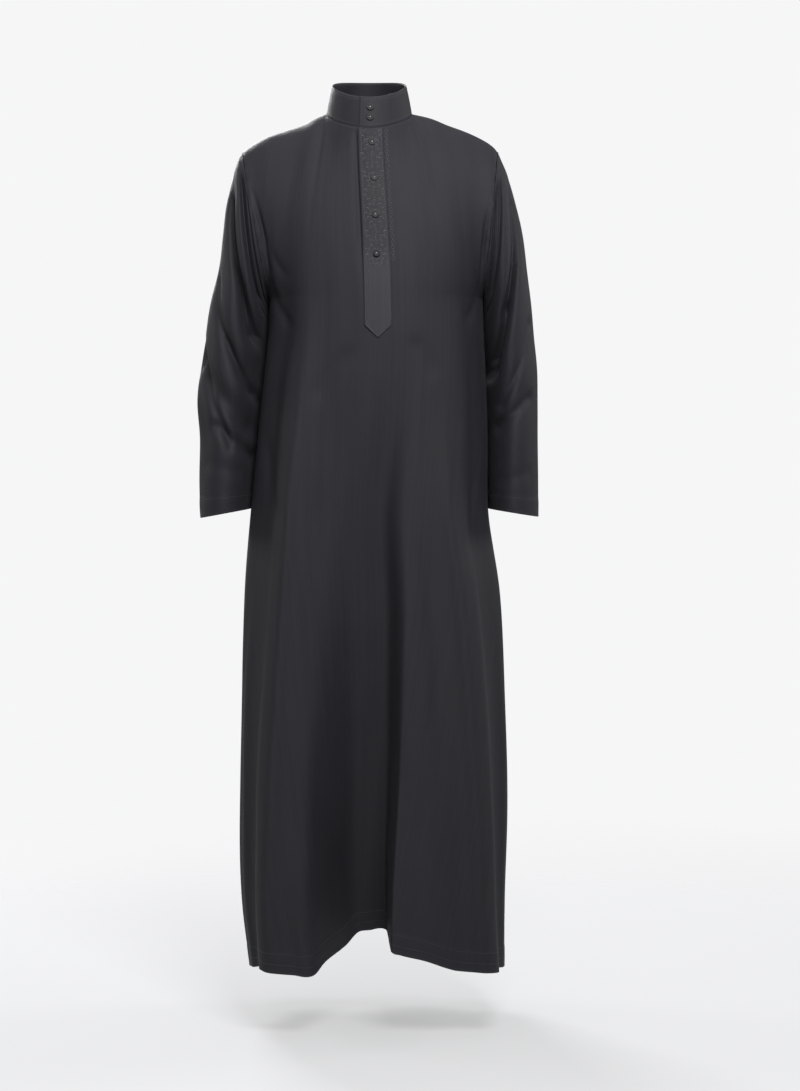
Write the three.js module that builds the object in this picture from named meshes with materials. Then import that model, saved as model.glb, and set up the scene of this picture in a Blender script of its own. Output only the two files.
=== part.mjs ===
// A long-sleeved, ankle-length robe with a stand collar and a buttoned half placket, open and hollow as worn.
// Millimetres, +Z up, +X to the wearer's left, the front faces -Y. The origin is the centre of the neck,
// level with the shoulder points beside the collar.

import * as THREE from "three";

// Driving dimensions of the cut

const CLOTH = 1.6; // wall of the suiting cloth
const STIFFENED = 2.0; // wall of the interfaced collar
const BAND = 1.4; // wall of the folded placket bands
const SEAM = 0.3; // gap between two pieces that are sewn together
const UNDERARM_Z = -290;
const HEM_Z = -1350; // about where the skirt ends
const NECK_SHARE = 0.43; // the share of a panel's width that ends on the neckline, the rest on the shoulder
const SEAM_SHARE = 0.12; // the share of a panel's width, beside a side seam, in which its folds die away
const ARMHOLE = { front: 72, back: 80 };

// The shoulder seams from the right armhole to the neck, and from the neck to the left armhole

const RIGHT_SHOULDER = [
  { x: -201, z: -58 }, { x: -193, z: -51.5 }, { x: -177, z: -42 }, { x: -160, z: -33 },
  { x: -134, z: -24 }, { x: -102, z: -13 }, { x: -86, z: -4 }, { x: -68, z: 4 },
];
const LEFT_SHOULDER = [
  { x: 68, z: 4 }, { x: 100, z: -4 }, { x: 124, z: -14 }, { x: 149, z: -23 },
  { x: 172, z: -33 }, { x: 189, z: -42.5 }, { x: 198, z: -50 }, { x: 204, z: -57 },
];

// The hem round the front, lifted where the cloth falls back between the legs, and round the back

const FRONT_HEM = [
  { side: -1, z: -1355 }, { side: -0.75, z: -1347 }, { side: -0.53, z: -1336 },
  { side: -0.38, z: -1341 }, { side: -0.29, z: -1342 }, { side: -0.24, z: -1329 },
  { side: -0.14, z: -1314 }, { side: -0.08, z: -1297 }, { side: -0.03, z: -1294 },
  { side: 0.058, z: -1294 }, { side: 0.078, z: -1304 }, { side: 0.12, z: -1309 },
  { side: 0.23, z: -1318 }, { side: 0.36, z: -1334 }, { side: 0.51, z: -1340 },
  { side: 1, z: -1358 },
];
const BACK_HEM = [
  { side: -1, z: -1355 }, { side: -0.5, z: -1339 }, { side: 0, z: -1330 },
  { side: 0.5, z: -1341 }, { side: 1, z: -1359 },
];

// The body at a few heights: the reach of its right and left side, and its depth in front and behind

const BODY_SECTIONS = [
  { z: -1350, right: 191.5, left: 216.5, front: 172, back: 176, square: 0.1 },
  { z: -1250, right: 203, left: 217, front: 168, back: 170, square: 0.1 },
  { z: -1100, right: 207, left: 220.5, front: 161, back: 160, square: 0.1 },
  { z: -940, right: 204.5, left: 217.2, front: 153, back: 149, square: 0.1 },
  { z: -760, right: 199, left: 209, front: 144, back: 137, square: 0.09 },
  { z: -627, right: 188, left: 190, front: 137, back: 126, square: 0.09 },
  { z: -515, right: 178, left: 189, front: 132, back: 117, square: 0.08 },
  { z: -400, right: 166, left: 185, front: 128, back: 113, square: 0.07 },
  { z: -340, right: 160, left: 182, front: 126, back: 116, square: 0.06 },
  { z: -290, right: 159, left: 180, front: 123, back: 119, square: 0.05 },
];

// Folds that run down the panels. side is a column from -1 to 1 across the panel, at the top and at the hem;
// depth is out of the cloth where it is positive. A fold starts at top, is full at full and fades out by end

const TO_HEM = -9000; // a fold with this end runs on through the hem

const FRONT_FOLDS = [
  { top: -180, full: -620, end: TO_HEM, sideTop: -0.4, sideEnd: -0.49, depth: 11, width: 0.2 },
  { top: -620, full: -1300, end: TO_HEM, sideTop: -0.42, sideEnd: -0.49, depth: 17, width: 0.17 },
  { top: -160, full: -420, end: TO_HEM, sideTop: -0.58, sideEnd: -0.68, depth: -9, width: 0.2 },
  { top: -300, full: -650, end: TO_HEM, sideTop: 0.4, sideEnd: 0.53, depth: 11, width: 0.2 },
  { top: -620, full: -1300, end: TO_HEM, sideTop: 0.44, sideEnd: 0.53, depth: 17, width: 0.17 },
  { top: -260, full: -560, end: TO_HEM, sideTop: 0.58, sideEnd: 0.73, depth: -9, width: 0.2 },
  { top: -330, full: -520, end: -900, sideTop: 0.12, sideEnd: 0.1, depth: -5, width: 0.16 },
  { top: -480, full: -900, end: TO_HEM, sideTop: -0.2, sideEnd: -0.27, depth: 7, width: 0.16 },
  { top: -520, full: -960, end: TO_HEM, sideTop: 0.2, sideEnd: 0.27, depth: 6, width: 0.18 },
];

const BACK_FOLDS = [
  { top: -220, full: -700, end: TO_HEM, sideTop: -0.42, sideEnd: -0.5, depth: 13, width: 0.24 },
  { top: -300, full: -820, end: TO_HEM, sideTop: -0.66, sideEnd: -0.74, depth: -8, width: 0.2 },
  { top: -150, full: -620, end: TO_HEM, sideTop: -0.12, sideEnd: -0.16, depth: -13, width: 0.24 },
  { top: -420, full: -1100, end: TO_HEM, sideTop: 0.08, sideEnd: 0.12, depth: 10, width: 0.2 },
  { top: -260, full: -900, end: TO_HEM, sideTop: 0.3, sideEnd: 0.34, depth: -12, width: 0.2 },
  { top: -240, full: -740, end: TO_HEM, sideTop: 0.5, sideEnd: 0.56, depth: 13, width: 0.22 },
  { top: -380, full: -900, end: TO_HEM, sideTop: 0.74, sideEnd: 0.8, depth: -7, width: 0.18 },
];

// The cloth falls back between the legs in front: soft on the wearer's right, and on the left against a fold
// that is soft high up and steep at the hem

const RECESS = {
  top: -410, depth: 142, growth: 1.5, softFrom: -0.34, softTo: -0.07,
  stepFrom: 0.058, stepSoft: 0.19, stepSteep: 0.02,
};

// A panel's way from the underarm up over the shoulder: how it leaves the chest, and how far it reaches and
// rises into the top edge, at the sides and in the upright middle

const SHOULDER_ROLL = { leave: 1.25, reach: 1.9, rise: 0.12, middleReach: 0.9, middleRise: 0.75 };
const LEAN_STEP = 30; // below the underarm, where the chest's lean is taken
const ARMHOLE_PULL = 1.6; // how late a panel turns from its chest to the armhole

// Sleeve rails past the armhole, on the inside of the wall: outer and inner edge seen from the front, the reach
// in y in front and behind, and how far back the inner edge leans against the body

const RIGHT_SLEEVE = [
  { outX: 207.5, outZ: -71, inX: 160.6, inZ: -294, front: -73, back: 80, lean: 4 },
  { outX: 215.7, outZ: -97, inX: 160.8, inZ: -299, front: -74, back: 79, lean: 9 },
  { outX: 226.2, outZ: -140, inX: 161, inZ: -309, front: -75, back: 77, lean: 15 },
  { outX: 232.2, outZ: -192, inX: 161.4, inZ: -324, front: -75, back: 74, lean: 21 },
  { outX: 238.0, outZ: -240, inX: 162, inZ: -344, front: -73, back: 71, lean: 27 },
  { outX: 252.2, outZ: -302, inX: 163.8, inZ: -369, front: -71, back: 68, lean: 31 },
  { outX: 259.2, outZ: -352, inX: 166.6, inZ: -397, front: -69, back: 64, lean: 33 },
  { outX: 267.4, outZ: -402, inX: 170.1, inZ: -430, front: -68, back: 60, lean: 33 },
  { outX: 272.5, outZ: -454, inX: 174.5, inZ: -468, front: -68, back: 54, lean: 31 },
  { outX: 268.1, outZ: -512, inX: 180.5, inZ: -520, front: -68, back: 44, lean: 25 },
  { outX: 268.7, outZ: -577, inX: 186, inZ: -575, front: -67, back: 33, lean: 16 },
  { outX: 268, outZ: -638, inX: 191, inZ: -624, front: -66, back: 22, lean: 8 },
];

const LEFT_SLEEVE = [
  { outX: 209.6, outZ: -71, inX: 181.6, inZ: -294, front: -73, back: 80, lean: 4 },
  { outX: 220.2, outZ: -97, inX: 181.9, inZ: -299, front: -74, back: 79, lean: 9 },
  { outX: 232.7, outZ: -140, inX: 182.3, inZ: -309, front: -75, back: 77, lean: 15 },
  { outX: 244.1, outZ: -192, inX: 182.8, inZ: -324, front: -75, back: 74, lean: 21 },
  { outX: 250.7, outZ: -247, inX: 183.5, inZ: -344, front: -73, back: 71, lean: 27 },
  { outX: 257.1, outZ: -302, inX: 184.7, inZ: -369, front: -71, back: 68, lean: 31 },
  { outX: 261.1, outZ: -352, inX: 185.9, inZ: -397, front: -69, back: 64, lean: 33 },
  { outX: 266.1, outZ: -402, inX: 187.4, inZ: -430, front: -68, back: 60, lean: 33 },
  { outX: 267.2, outZ: -454, inX: 189, inZ: -468, front: -68, back: 54, lean: 31 },
  { outX: 267.5, outZ: -512, inX: 191, inZ: -520, front: -68, back: 44, lean: 25 },
  { outX: 268.3, outZ: -577, inX: 191.6, inZ: -575, front: -67, back: 33, lean: 16 },
  { outX: 268.3, outZ: -636, inX: 192.8, inZ: -624, front: -66, back: 22, lean: 8 },
];

// Folds across a sleeve, each a trough from one place to another. along runs from 0 at the armhole to 1 at
// the cuff; turn is degrees round the sleeve: 0 outer edge, 90 front, 180 inner edge, 270 back

const RIGHT_SLEEVE_FOLDS = [
  { along0: 0.05, turn0: 45, along1: 0.3, turn1: 125, depth: 9, width: 17 },
  { along0: 0.2, turn0: 28, along1: 0.5, turn1: 122, depth: 13, width: 18 },
  { along0: 0.52, turn0: 50, along1: 0.64, turn1: 105, depth: 3, width: 22 },
  { along0: 0.64, turn0: 15, along1: 0.8, turn1: 130, depth: 9, width: 17 },
  { along0: 0.12, turn0: 318, along1: 0.4, turn1: 236, depth: 8, width: 20 },
  { along0: 0.42, turn0: 300, along1: 0.6, turn1: 222, depth: 5, width: 20 },
  { along0: 0.66, turn0: 330, along1: 0.76, turn1: 228, depth: 5, width: 20 },
];

const LEFT_SLEEVE_FOLDS = [
  { along0: 0.05, turn0: 62, along1: 0.25, turn1: 125, depth: 8, width: 17 },
  { along0: 0.22, turn0: 24, along1: 0.62, turn1: 142, depth: 14, width: 18 },
  { along0: 0.74, turn0: 62, along1: 0.8, turn1: 108, depth: 3, width: 22 },
  { along0: 0.1, turn0: 322, along1: 0.36, turn1: 240, depth: 8, width: 20 },
  { along0: 0.4, turn0: 306, along1: 0.62, turn1: 226, depth: 6, width: 20 },
  { along0: 0.68, turn0: 326, along1: 0.78, turn1: 232, depth: 4, width: 20 },
];

// The stand collar: rings at its seam and at its top edge. z = side - tilt cos(turn) - dip cos(turn) squared

const NECK_SEAM = { halfWidth: 68, halfDepth: 74, side: 4, tilt: 21.5, dip: 10 };
const COLLAR_TOP = { halfWidth: 59, halfDepth: 65, side: 48.5, tilt: 20.5, dip: 6.5 };
const COLLAR_END = -13; // degrees from the front centre to the collar's outer end
const COLLAR_OVERLAP = 30; // degrees that the inner end runs on beneath the outer end

// The placket, in columns of the front panel, and the heights of its parts

const PLACKET = { right: -0.062, left: 0.093, shoulder: -338, tip: -357 };
const SLIT = { halfWidth: 0.0022, bottom: -318 };
const UNDERLAP = { right: -0.04, left: 0.058 };

const BUTTON = { radius: 5.8, rim: 1.5, dome: 2.6, well: 3.4, wellDepth: 0.7 };
const COLLAR_BUTTONS = [
  { name: "button_collar_top", x: 2.4, z: 5.2 },
  { name: "button_collar_low", x: 2.4, z: -10.8 },
];
const PLACKET_BUTTONS = [
  { name: "button_placket_1", x: 5.5, z: -51 },
  { name: "button_placket_2", x: 9.5, z: -107.5 },
  { name: "button_placket_3", x: 11, z: -166 },
  { name: "button_placket_4", x: 12.8, z: -227 },
];

// Grid sizes

const SKIRT_ROWS = 17;
const CHEST_ROWS = 12;
const SHOULDER_COLUMNS = 9;
const NECK_COLUMNS = 7;
const BACK_NECK_COLUMNS = 12;
const SLEEVE_TURNS = 20;
const SLEEVE_LENGTH = 600; // weighs shares along a sleeve against degrees round it
const SLEEVE_ROWS = 24;
const COLLAR_TURNS = 44;
const COLLAR_ROWS = 3;
const BUTTON_SIDES = 14;

// Small helpers

const clamp01 = (t) => Math.min(1, Math.max(0, t));
const ease = (t) => THREE.MathUtils.smoothstep(t, 0, 1);
const mix = THREE.MathUtils.lerp;
const radians = THREE.MathUtils.degToRad;

// A smooth reader of a table: gives every column at any value of the key column
function reader(table, key) {
  const rows = [...table].sort((a, b) => a[key] - b[key]);
  const columns = Object.keys(rows[0]);
  const samples = rows.flatMap((row) => columns.map((column) => row[column]));
  const curve = new THREE.CubicInterpolant(
    rows.map((row) => row[key]), samples, columns.length, new Array(columns.length));
  return (at) => {
    const found = curve.evaluate(THREE.MathUtils.clamp(at, rows[0][key], rows[rows.length - 1][key]));
    return Object.fromEntries(columns.map((column, i) => [column, found[i]]));
  };
}

// A wall from a grid of points on its outer side, rows of columns. closed joins the last column to the first,
// skip(row, column) leaves a cell out, and settle moves a point of the inner side to where it may be
function wall(grid, thickness, { closed = false, skip = () => false, settle = (p) => p } = {}) {
  const rows = grid.length;
  const columns = grid[0].length;
  const wrap = (j) => (closed ? (j + columns) % columns : THREE.MathUtils.clamp(j, 0, columns - 1));
  const normalAt = (i, j) => {
    const across = grid[i][wrap(j + 1)].clone().sub(grid[i][wrap(j - 1)]);
    const up = grid[Math.min(i + 1, rows - 1)][j].clone().sub(grid[Math.max(i - 1, 0)][j]);
    return across.cross(up).normalize();
  };
  const inside = grid.map((row, i) =>
    row.map((p, j) => settle(p.clone().addScaledVector(normalAt(i, j), -thickness))));
  const positions = [...grid.flat(), ...inside.flat()].flatMap((p) => [p.x, p.y, p.z]);
  const outer = (i, j) => i * columns + wrap(j);
  const below = (i, j) => rows * columns + outer(i, j);
  const lastColumn = closed ? columns : columns - 1;
  const inGrid = (i, j) => i >= 0 && i < rows - 1 && (closed || (j >= 0 && j < columns - 1));
  const kept = (i, j) => inGrid(i, j) && !skip(i, closed ? (j + columns) % columns : j);
  const faces = [];
  const quad = (a, b, c, d) => faces.push(a, b, c, a, c, d);
  for (let i = 0; i < rows - 1; i += 1) {
    for (let j = 0; j < lastColumn; j += 1) {
      if (!kept(i, j)) continue;
      quad(outer(i, j), outer(i, j + 1), outer(i + 1, j + 1), outer(i + 1, j));
      quad(below(i, j), below(i + 1, j), below(i + 1, j + 1), below(i, j + 1));
      if (!kept(i - 1, j)) quad(outer(i, j + 1), outer(i, j), below(i, j), below(i, j + 1));
      if (!kept(i + 1, j)) quad(outer(i + 1, j), outer(i + 1, j + 1), below(i + 1, j + 1), below(i + 1, j));
      if (!kept(i, j - 1)) quad(outer(i, j), outer(i + 1, j), below(i + 1, j), below(i, j));
      if (!kept(i, j + 1)) quad(outer(i + 1, j + 1), outer(i, j + 1), below(i, j + 1), below(i + 1, j + 1));
    }
  }
  const geometry = new THREE.BufferGeometry();
  geometry.setAttribute("position", new THREE.Float32BufferAttribute(positions, 3));
  geometry.setIndex(faces);
  geometry.computeVertexNormals();
  return geometry;
}

// Body panels

const sectionAt = reader(BODY_SECTIONS, "z");
const rightShoulderAt = reader(RIGHT_SHOULDER, "x");
const leftShoulderAt = reader(LEFT_SHOULDER, "x");
const frontHemAt = reader(FRONT_HEM, "side");
const backHemAt = reader(BACK_HEM, "side");
const shoulderTip = (sign) => (sign < 0 ? RIGHT_SHOULDER[0] : LEFT_SHOULDER[LEFT_SHOULDER.length - 1]);

// One fold's push out of the cloth at a column and a height
function foldPush(fold, side, z) {
  const grown = ease(clamp01((fold.top - z) / (fold.top - fold.full)));
  const remaining = 1 - ease(clamp01((fold.full - z) / (fold.full - fold.end)));
  const centre = mix(fold.sideTop, fold.sideEnd, clamp01((fold.top - z) / (fold.top - HEM_Z)));
  const near = ease(1 - clamp01(Math.abs(side - centre) / fold.width));
  return fold.depth * grown * remaining * near;
}

// The hollow between the legs, as a push into the robe
function recessPush(side, z) {
  const grown = clamp01((RECESS.top - z) / (RECESS.top - HEM_Z)) ** RECESS.growth;
  const soft = ease(clamp01((side - RECESS.softFrom) / (RECESS.softTo - RECESS.softFrom)));
  const stepWidth = mix(RECESS.stepSoft, RECESS.stepSteep, Math.sqrt(grown));
  const step = 1 - ease(clamp01((side - RECESS.stepFrom) / stepWidth));
  return RECESS.depth * grown * soft * step;
}

// A point of the section at a height, with its folds. half is -1 in front and 1 behind
function sectionPoint(half, side, z) {
  const at = sectionAt(z);
  const turn = (side * Math.PI) / 2;
  const corner = 1 + at.square * Math.sin(2 * turn) ** 2;
  const centre = (at.left - at.right) / 2;
  const reach = (at.left + at.right) / 2;
  const depth = half < 0 ? at.front : at.back;
  const out = new THREE.Vector2(Math.sin(turn) / reach, Math.cos(turn) / depth).normalize();
  const free = ease(clamp01((1 - Math.abs(side)) / SEAM_SHARE));
  const folds = half < 0 ? FRONT_FOLDS : BACK_FOLDS;
  const push = free * folds.reduce((sum, fold) => sum + foldPush(fold, side, z), 0);
  const hollow = half < 0 ? recessPush(side, z) : 0;
  const x = centre + reach * Math.sin(turn) * corner + out.x * push;
  const y = depth * Math.cos(turn) * corner + out.y * push - hollow;
  return new THREE.Vector3(x, half * y, z);
}

function ringPoint(ring, turn) {
  const c = Math.cos(turn);
  return new THREE.Vector3(
    ring.halfWidth * Math.sin(turn), -ring.halfDepth * c, ring.side - ring.tilt * c - ring.dip * c * c);
}

// The upper edge of a panel: the neckline in the middle, a shoulder seam at each side
function topEdge(half, side) {
  const sign = Math.sign(side);
  const share = Math.abs(side) / NECK_SHARE;
  if (share <= 1) {
    const turn = half < 0 ? (sign * share * Math.PI) / 2 : Math.PI - (sign * share * Math.PI) / 2;
    return ringPoint(NECK_SEAM, turn);
  }
  const out = (Math.abs(side) - NECK_SHARE) / (1 - NECK_SHARE);
  const x = mix(sign * NECK_SEAM.halfWidth, shoulderTip(sign).x, out);
  const z = (sign < 0 ? rightShoulderAt : leftShoulderAt)(x).z;
  return new THREE.Vector3(x, 0, z);
}

// The armhole, from the underarm (0) to the shoulder tip (1), or right round as a ring: turn 0 is the tip
function armholePoint(sign, turn) {
  const tip = shoulderTip(sign);
  const under = sectionPoint(-1, sign, UNDERARM_Z);
  const drop = (1 - Math.cos(turn)) / 2;
  const depth = Math.sin(turn) > 0 ? -ARMHOLE.front : ARMHOLE.back;
  return new THREE.Vector3(
    mix(tip.x, under.x, drop), depth * Math.abs(Math.sin(turn)), mix(tip.z, UNDERARM_Z, drop));
}

// A cubic curve from one point to another, with the direction that it leaves and arrives in
function hermite(from, leave, to, arrive, t) {
  const [square, cube] = [t ** 2, t ** 3];
  return new THREE.Vector3()
    .addScaledVector(from, 2 * cube - 3 * square + 1)
    .addScaledVector(leave, cube - 2 * square + t)
    .addScaledVector(to, 3 * square - 2 * cube)
    .addScaledVector(arrive, cube - square);
}

// A panel above the underarm: each column leaves the chest straight up and rolls over the shoulder
function chestPoint(half, side, up) {
  const foot = sectionPoint(half, side, UNDERARM_Z);
  const head = topEdge(half, side);
  const rise = head.z - foot.z;
  const below = sectionPoint(half, side, UNDERARM_Z - LEAN_STEP);
  const leave = foot.clone().sub(below).multiplyScalar((SHOULDER_ROLL.leave * rise) / LEAN_STEP);
  const upright = 1 - ease(clamp01((Math.abs(side) - 0.05) / 0.5));
  const reach = mix(SHOULDER_ROLL.reach, SHOULDER_ROLL.middleReach, upright);
  const climb = mix(SHOULDER_ROLL.rise, SHOULDER_ROLL.middleRise, upright);
  const roll = new THREE.Vector3(0, -half * Math.abs(head.y - foot.y) * reach, rise * climb);
  return hermite(foot, leave, head, roll, up);
}

// Any point of a panel: side runs from -1 to 1 across it, and row from 0 at the hem through SKIRT_ROWS at the
// underarm to the top edge
function panelPoint(half, side, row) {
  if (row <= SKIRT_ROWS) {
    const hem = (half < 0 ? frontHemAt : backHemAt)(side).z;
    return sectionPoint(half, side, mix(hem, UNDERARM_Z, row / SKIRT_ROWS));
  }
  const up = (row - SKIRT_ROWS) / CHEST_ROWS;
  const point = chestPoint(half, side, up);
  const sign = Math.sign(side);
  const pull = clamp01((Math.abs(side) - 0.1) / 0.9) ** ARMHOLE_PULL;
  if (pull > 0) {
    const turn = half < 0 ? Math.PI * (1 - up) : Math.PI * (1 + up);
    const edge = armholePoint(sign, turn).sub(chestPoint(half, sign, up));
    point.addScaledVector(edge, pull);
  }
  return point;
}

function panelGrid(half, columns) {
  const rows = SKIRT_ROWS + CHEST_ROWS;
  const grid = [];
  for (let row = 0; row <= rows; row += 1) {
    grid.push(columns.map((side) => keepToPanel(half)(panelPoint(half, side, row))));
  }
  return half < 0 ? grid : grid.map((row) => row.reverse());
}

// The slanted plane of an armhole, as a distance from the centre plane at a height
function armholeReach(sign, z) {
  const tip = shoulderTip(sign);
  const under = Math.abs(sectionPoint(-1, sign, UNDERARM_Z).x);
  return mix(Math.abs(tip.x), under, clamp01((tip.z - z) / (tip.z - UNDERARM_Z)));
}

// Front and back meet at y = 0 with the seam's gap between them, and both end at the planes of the armholes
function keepToPanel(half) {
  return (point) => {
    point.y = half * Math.max(half * point.y, SEAM / 2);
    if (point.z > UNDERARM_Z) {
      const sign = Math.sign(point.x);
      point.x = sign * Math.min(Math.abs(point.x), armholeReach(sign, point.z));
    }
    return point;
  };
}

function keepToSleeve(sign) {
  return (point) => point.setX(sign * Math.max(sign * point.x, armholeReach(sign, point.z) + SEAM));
}

function spread(from, to, count) {
  return Array.from({ length: count }, (_, i) => mix(from, to, i / count));
}

const frontColumns = [
  ...spread(-1, -NECK_SHARE, SHOULDER_COLUMNS),
  ...spread(-NECK_SHARE, PLACKET.right, NECK_COLUMNS),
  PLACKET.right, UNDERLAP.right, -SLIT.halfWidth, SLIT.halfWidth, 0.03,
  RECESS.stepFrom, RECESS.stepFrom + RECESS.stepSteep,
  ...spread(PLACKET.left, NECK_SHARE, NECK_COLUMNS - 1),
  ...spread(NECK_SHARE, 1, SHOULDER_COLUMNS), 1,
];
const backColumns = [
  ...spread(-1, -NECK_SHARE, SHOULDER_COLUMNS),
  ...spread(-NECK_SHARE, NECK_SHARE, BACK_NECK_COLUMNS),
  ...spread(NECK_SHARE, 1, SHOULDER_COLUMNS), 1,
];
const frontGrid = panelGrid(-1, frontColumns);
const backGrid = panelGrid(1, backColumns);

const cloth = new THREE.MeshStandardMaterial({ color: 0x35353a, roughness: 0.78, metalness: 0 });
const bandCloth = new THREE.MeshStandardMaterial({ color: 0x3d3e42, roughness: 0.7, metalness: 0 });
const buttonResin = new THREE.MeshStandardMaterial({ color: 0x2b2b2e, roughness: 0.3, metalness: 0 });

function mesh(name, geometry, material) {
  const made = new THREE.Mesh(geometry, material);
  made.name = name;
  return made;
}

function frontPanel() {
  const slitColumn = frontColumns.indexOf(-SLIT.halfWidth);
  const skip = (i, j) => j === slitColumn && frontGrid[i][j].z > SLIT.bottom;
  return mesh("front", wall(frontGrid, CLOTH, { skip, settle: keepToPanel(-1) }), cloth);
}

function backPanel() {
  return mesh("back", wall(backGrid, CLOTH, { settle: keepToPanel(1) }), cloth);
}

// Sleeves

// The fall of the cloth into a sleeve's folds, at a place along it and degrees round it
function sleeveDip(folds, along, turn) {
  const place = (share, degrees) => new THREE.Vector2(share * SLEEVE_LENGTH, degrees);
  const at = place(along, turn);
  const dip = folds.reduce((sum, fold) => {
    const from = place(fold.along0, fold.turn0);
    const line = place(fold.along1, fold.turn1).sub(from);
    const share = clamp01(at.clone().sub(from).dot(line) / line.lengthSq());
    const away = at.distanceTo(from.addScaledVector(line, share));
    return sum + fold.depth * Math.exp(-((away / fold.width) ** 2));
  }, 0);
  return dip * ease(clamp01(along / 0.06));
}

// Rings between the two rails of a sleeve, from the armhole to the cuff
function sleeveGrid(sign, rails, folds) {
  const tip = shoulderTip(sign);
  const armhole = {
    outX: Math.abs(tip.x),
    outZ: tip.z,
    inX: Math.abs(sectionPoint(-1, sign, UNDERARM_Z).x),
    inZ: UNDERARM_Z,
    front: -ARMHOLE.front,
    back: ARMHOLE.back,
    lean: 0,
  };
  const stations = [armhole, ...rails].map((row, i) => ({ along: i / rails.length, ...row }));
  const railAt = reader(stations, "along");
  const grid = [];
  for (let i = 0; i <= SLEEVE_ROWS; i += 1) {
    const along = i / SLEEVE_ROWS;
    const at = railAt(along);
    const middle = new THREE.Vector2(at.outX + at.inX, at.outZ + at.inZ).multiplyScalar(0.5);
    const half = new THREE.Vector2(at.outX - at.inX, at.outZ - at.inZ).multiplyScalar(0.5);
    grid.push(Array.from({ length: SLEEVE_TURNS }, (_, j) => {
      const degrees = (j / SLEEVE_TURNS) * 360;
      const [cos, sin] = [Math.cos(radians(degrees)), Math.sin(radians(degrees))];
      const dip = sleeveDip(folds, along, degrees);
      const out = CLOTH - dip;
      const depth = (sin > 0 ? -at.front : at.back) + out;
      const reach = cos * (1 + out / half.length());
      const y = at.lean * Math.max(0, -cos) ** 2 - depth * sin;
      return new THREE.Vector3(sign * (middle.x + half.x * reach), y, middle.y + half.y * reach);
    }));
  }
  return grid;
}

function sleeve(name, sign, rails, folds) {
  const grid = sleeveGrid(sign, rails, folds);
  const settle = keepToSleeve(sign);
  grid[0].forEach(settle);
  const facingOut = sign < 0 ? grid.map((row) => row.reverse()) : grid;
  return mesh(name, wall(facingOut, CLOTH, { closed: true, settle }), cloth);
}

// The collar: one band that goes once round the neck and on beneath its own outer end

function collarBand() {
  const from = COLLAR_END;
  const to = COLLAR_END + 360 + COLLAR_OVERLAP;
  const grid = [];
  for (let i = 0; i <= COLLAR_ROWS; i += 1) {
    grid.push(spread(from, to, COLLAR_TURNS).concat(to).map((degrees) => {
      const turn = radians(degrees);
      const tuck = (STIFFENED + 0.5) * ease(clamp01((degrees - from - 320) / 40));
      const low = ringPoint(NECK_SEAM, turn);
      low.z += SEAM;
      const point = low.lerp(ringPoint(COLLAR_TOP, turn), i / COLLAR_ROWS);
      const inward = new THREE.Vector2(-Math.sin(turn), Math.cos(turn)).multiplyScalar(tuck);
      return point.add(new THREE.Vector3(inward.x, inward.y, 0));
    }));
  }
  return mesh("collar", wall(grid, STIFFENED), cloth);
}

// A point of the front panel at a fractional row and column, and its outward direction there

function onFront(side, row) {
  const i = Math.min(Math.floor(row), frontGrid.length - 2);
  const found = frontColumns.findIndex((column) => column > side) - 1;
  const j = found < 0 ? frontColumns.length - 2 : found;
  const across = (side - frontColumns[j]) / (frontColumns[j + 1] - frontColumns[j]);
  const low = frontGrid[i][j].clone().lerp(frontGrid[i][j + 1], across);
  const high = frontGrid[i + 1][j].clone().lerp(frontGrid[i + 1][j + 1], across);
  const out = frontGrid[i][j + 1].clone().sub(frontGrid[i][j]).cross(high.clone().sub(low)).normalize();
  return { point: low.lerp(high, row - i), out };
}

function rowAtHeight(z) {
  const middle = frontColumns.indexOf(SLIT.halfWidth);
  const i = frontGrid.findIndex((row) => row[middle].z > z) - 1;
  return i + (z - frontGrid[i][middle].z) / (frontGrid[i + 1][middle].z - frontGrid[i][middle].z);
}

// A band that lies along the front panel, lifted off it (or laid beneath it where lift is negative)
function bandOnFront(name, { right, left }, bottom, point, lift, topGap) {
  const lastRow = frontGrid.length - 1;
  const foot = rowAtHeight(bottom);
  const rows = [foot, ...spread(0, lastRow, lastRow).filter((row) => row > foot + 0.1), lastRow - topGap];
  const columns = frontColumns.filter((column) => column >= right && column <= left);
  const middle = (right + left) / 2;
  const place = (side, row) => {
    const at = onFront(side, row);
    return at.point.addScaledVector(at.out, lift);
  };
  const grid = rows.map((row) => columns.map((side) => place(side, row)));
  if (point !== null) {
    const tip = rowAtHeight(point);
    grid.unshift(columns.map((side) => place(mix(middle, side, 0.1), tip)));
  }
  return mesh(name, wall(grid, BAND), bandCloth);
}

function placketBand() {
  return bandOnFront("placket", PLACKET, PLACKET.shoulder, PLACKET.tip, SEAM + BAND, 0.04);
}

function underlapBand() {
  return bandOnFront("placket_under", UNDERLAP, SLIT.bottom - 12, null, -(CLOTH + SEAM), 0.08);
}

// Buttons: domed discs with a rim, each resting on the cloth in front of its place

function buttonShape() {
  const { radius, rim, dome, well, wellDepth } = BUTTON;
  const profile = [
    [0, 0], [radius - 0.9, 0], [radius, 0.8], [radius, rim],
    [radius - 0.9, dome], [well + 0.5, dome], [well, dome - wellDepth], [0, dome - wellDepth + 0.3],
  ];
  return new THREE.LatheGeometry(profile.map(([x, y]) => new THREE.Vector2(x, y)), BUTTON_SIDES);
}

function buttonOn(support, { name, x, z }) {
  const ray = new THREE.Raycaster(new THREE.Vector3(x, -1000, z), new THREE.Vector3(0, 1, 0));
  const hit = ray.intersectObject(support)[0];
  const made = mesh(name, buttonShape(), buttonResin);
  made.quaternion.setFromUnitVectors(new THREE.Vector3(0, 1, 0), hit.face.normal);
  made.position.copy(hit.point).addScaledVector(hit.face.normal, SEAM + 0.1);
  return made;
}

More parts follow.
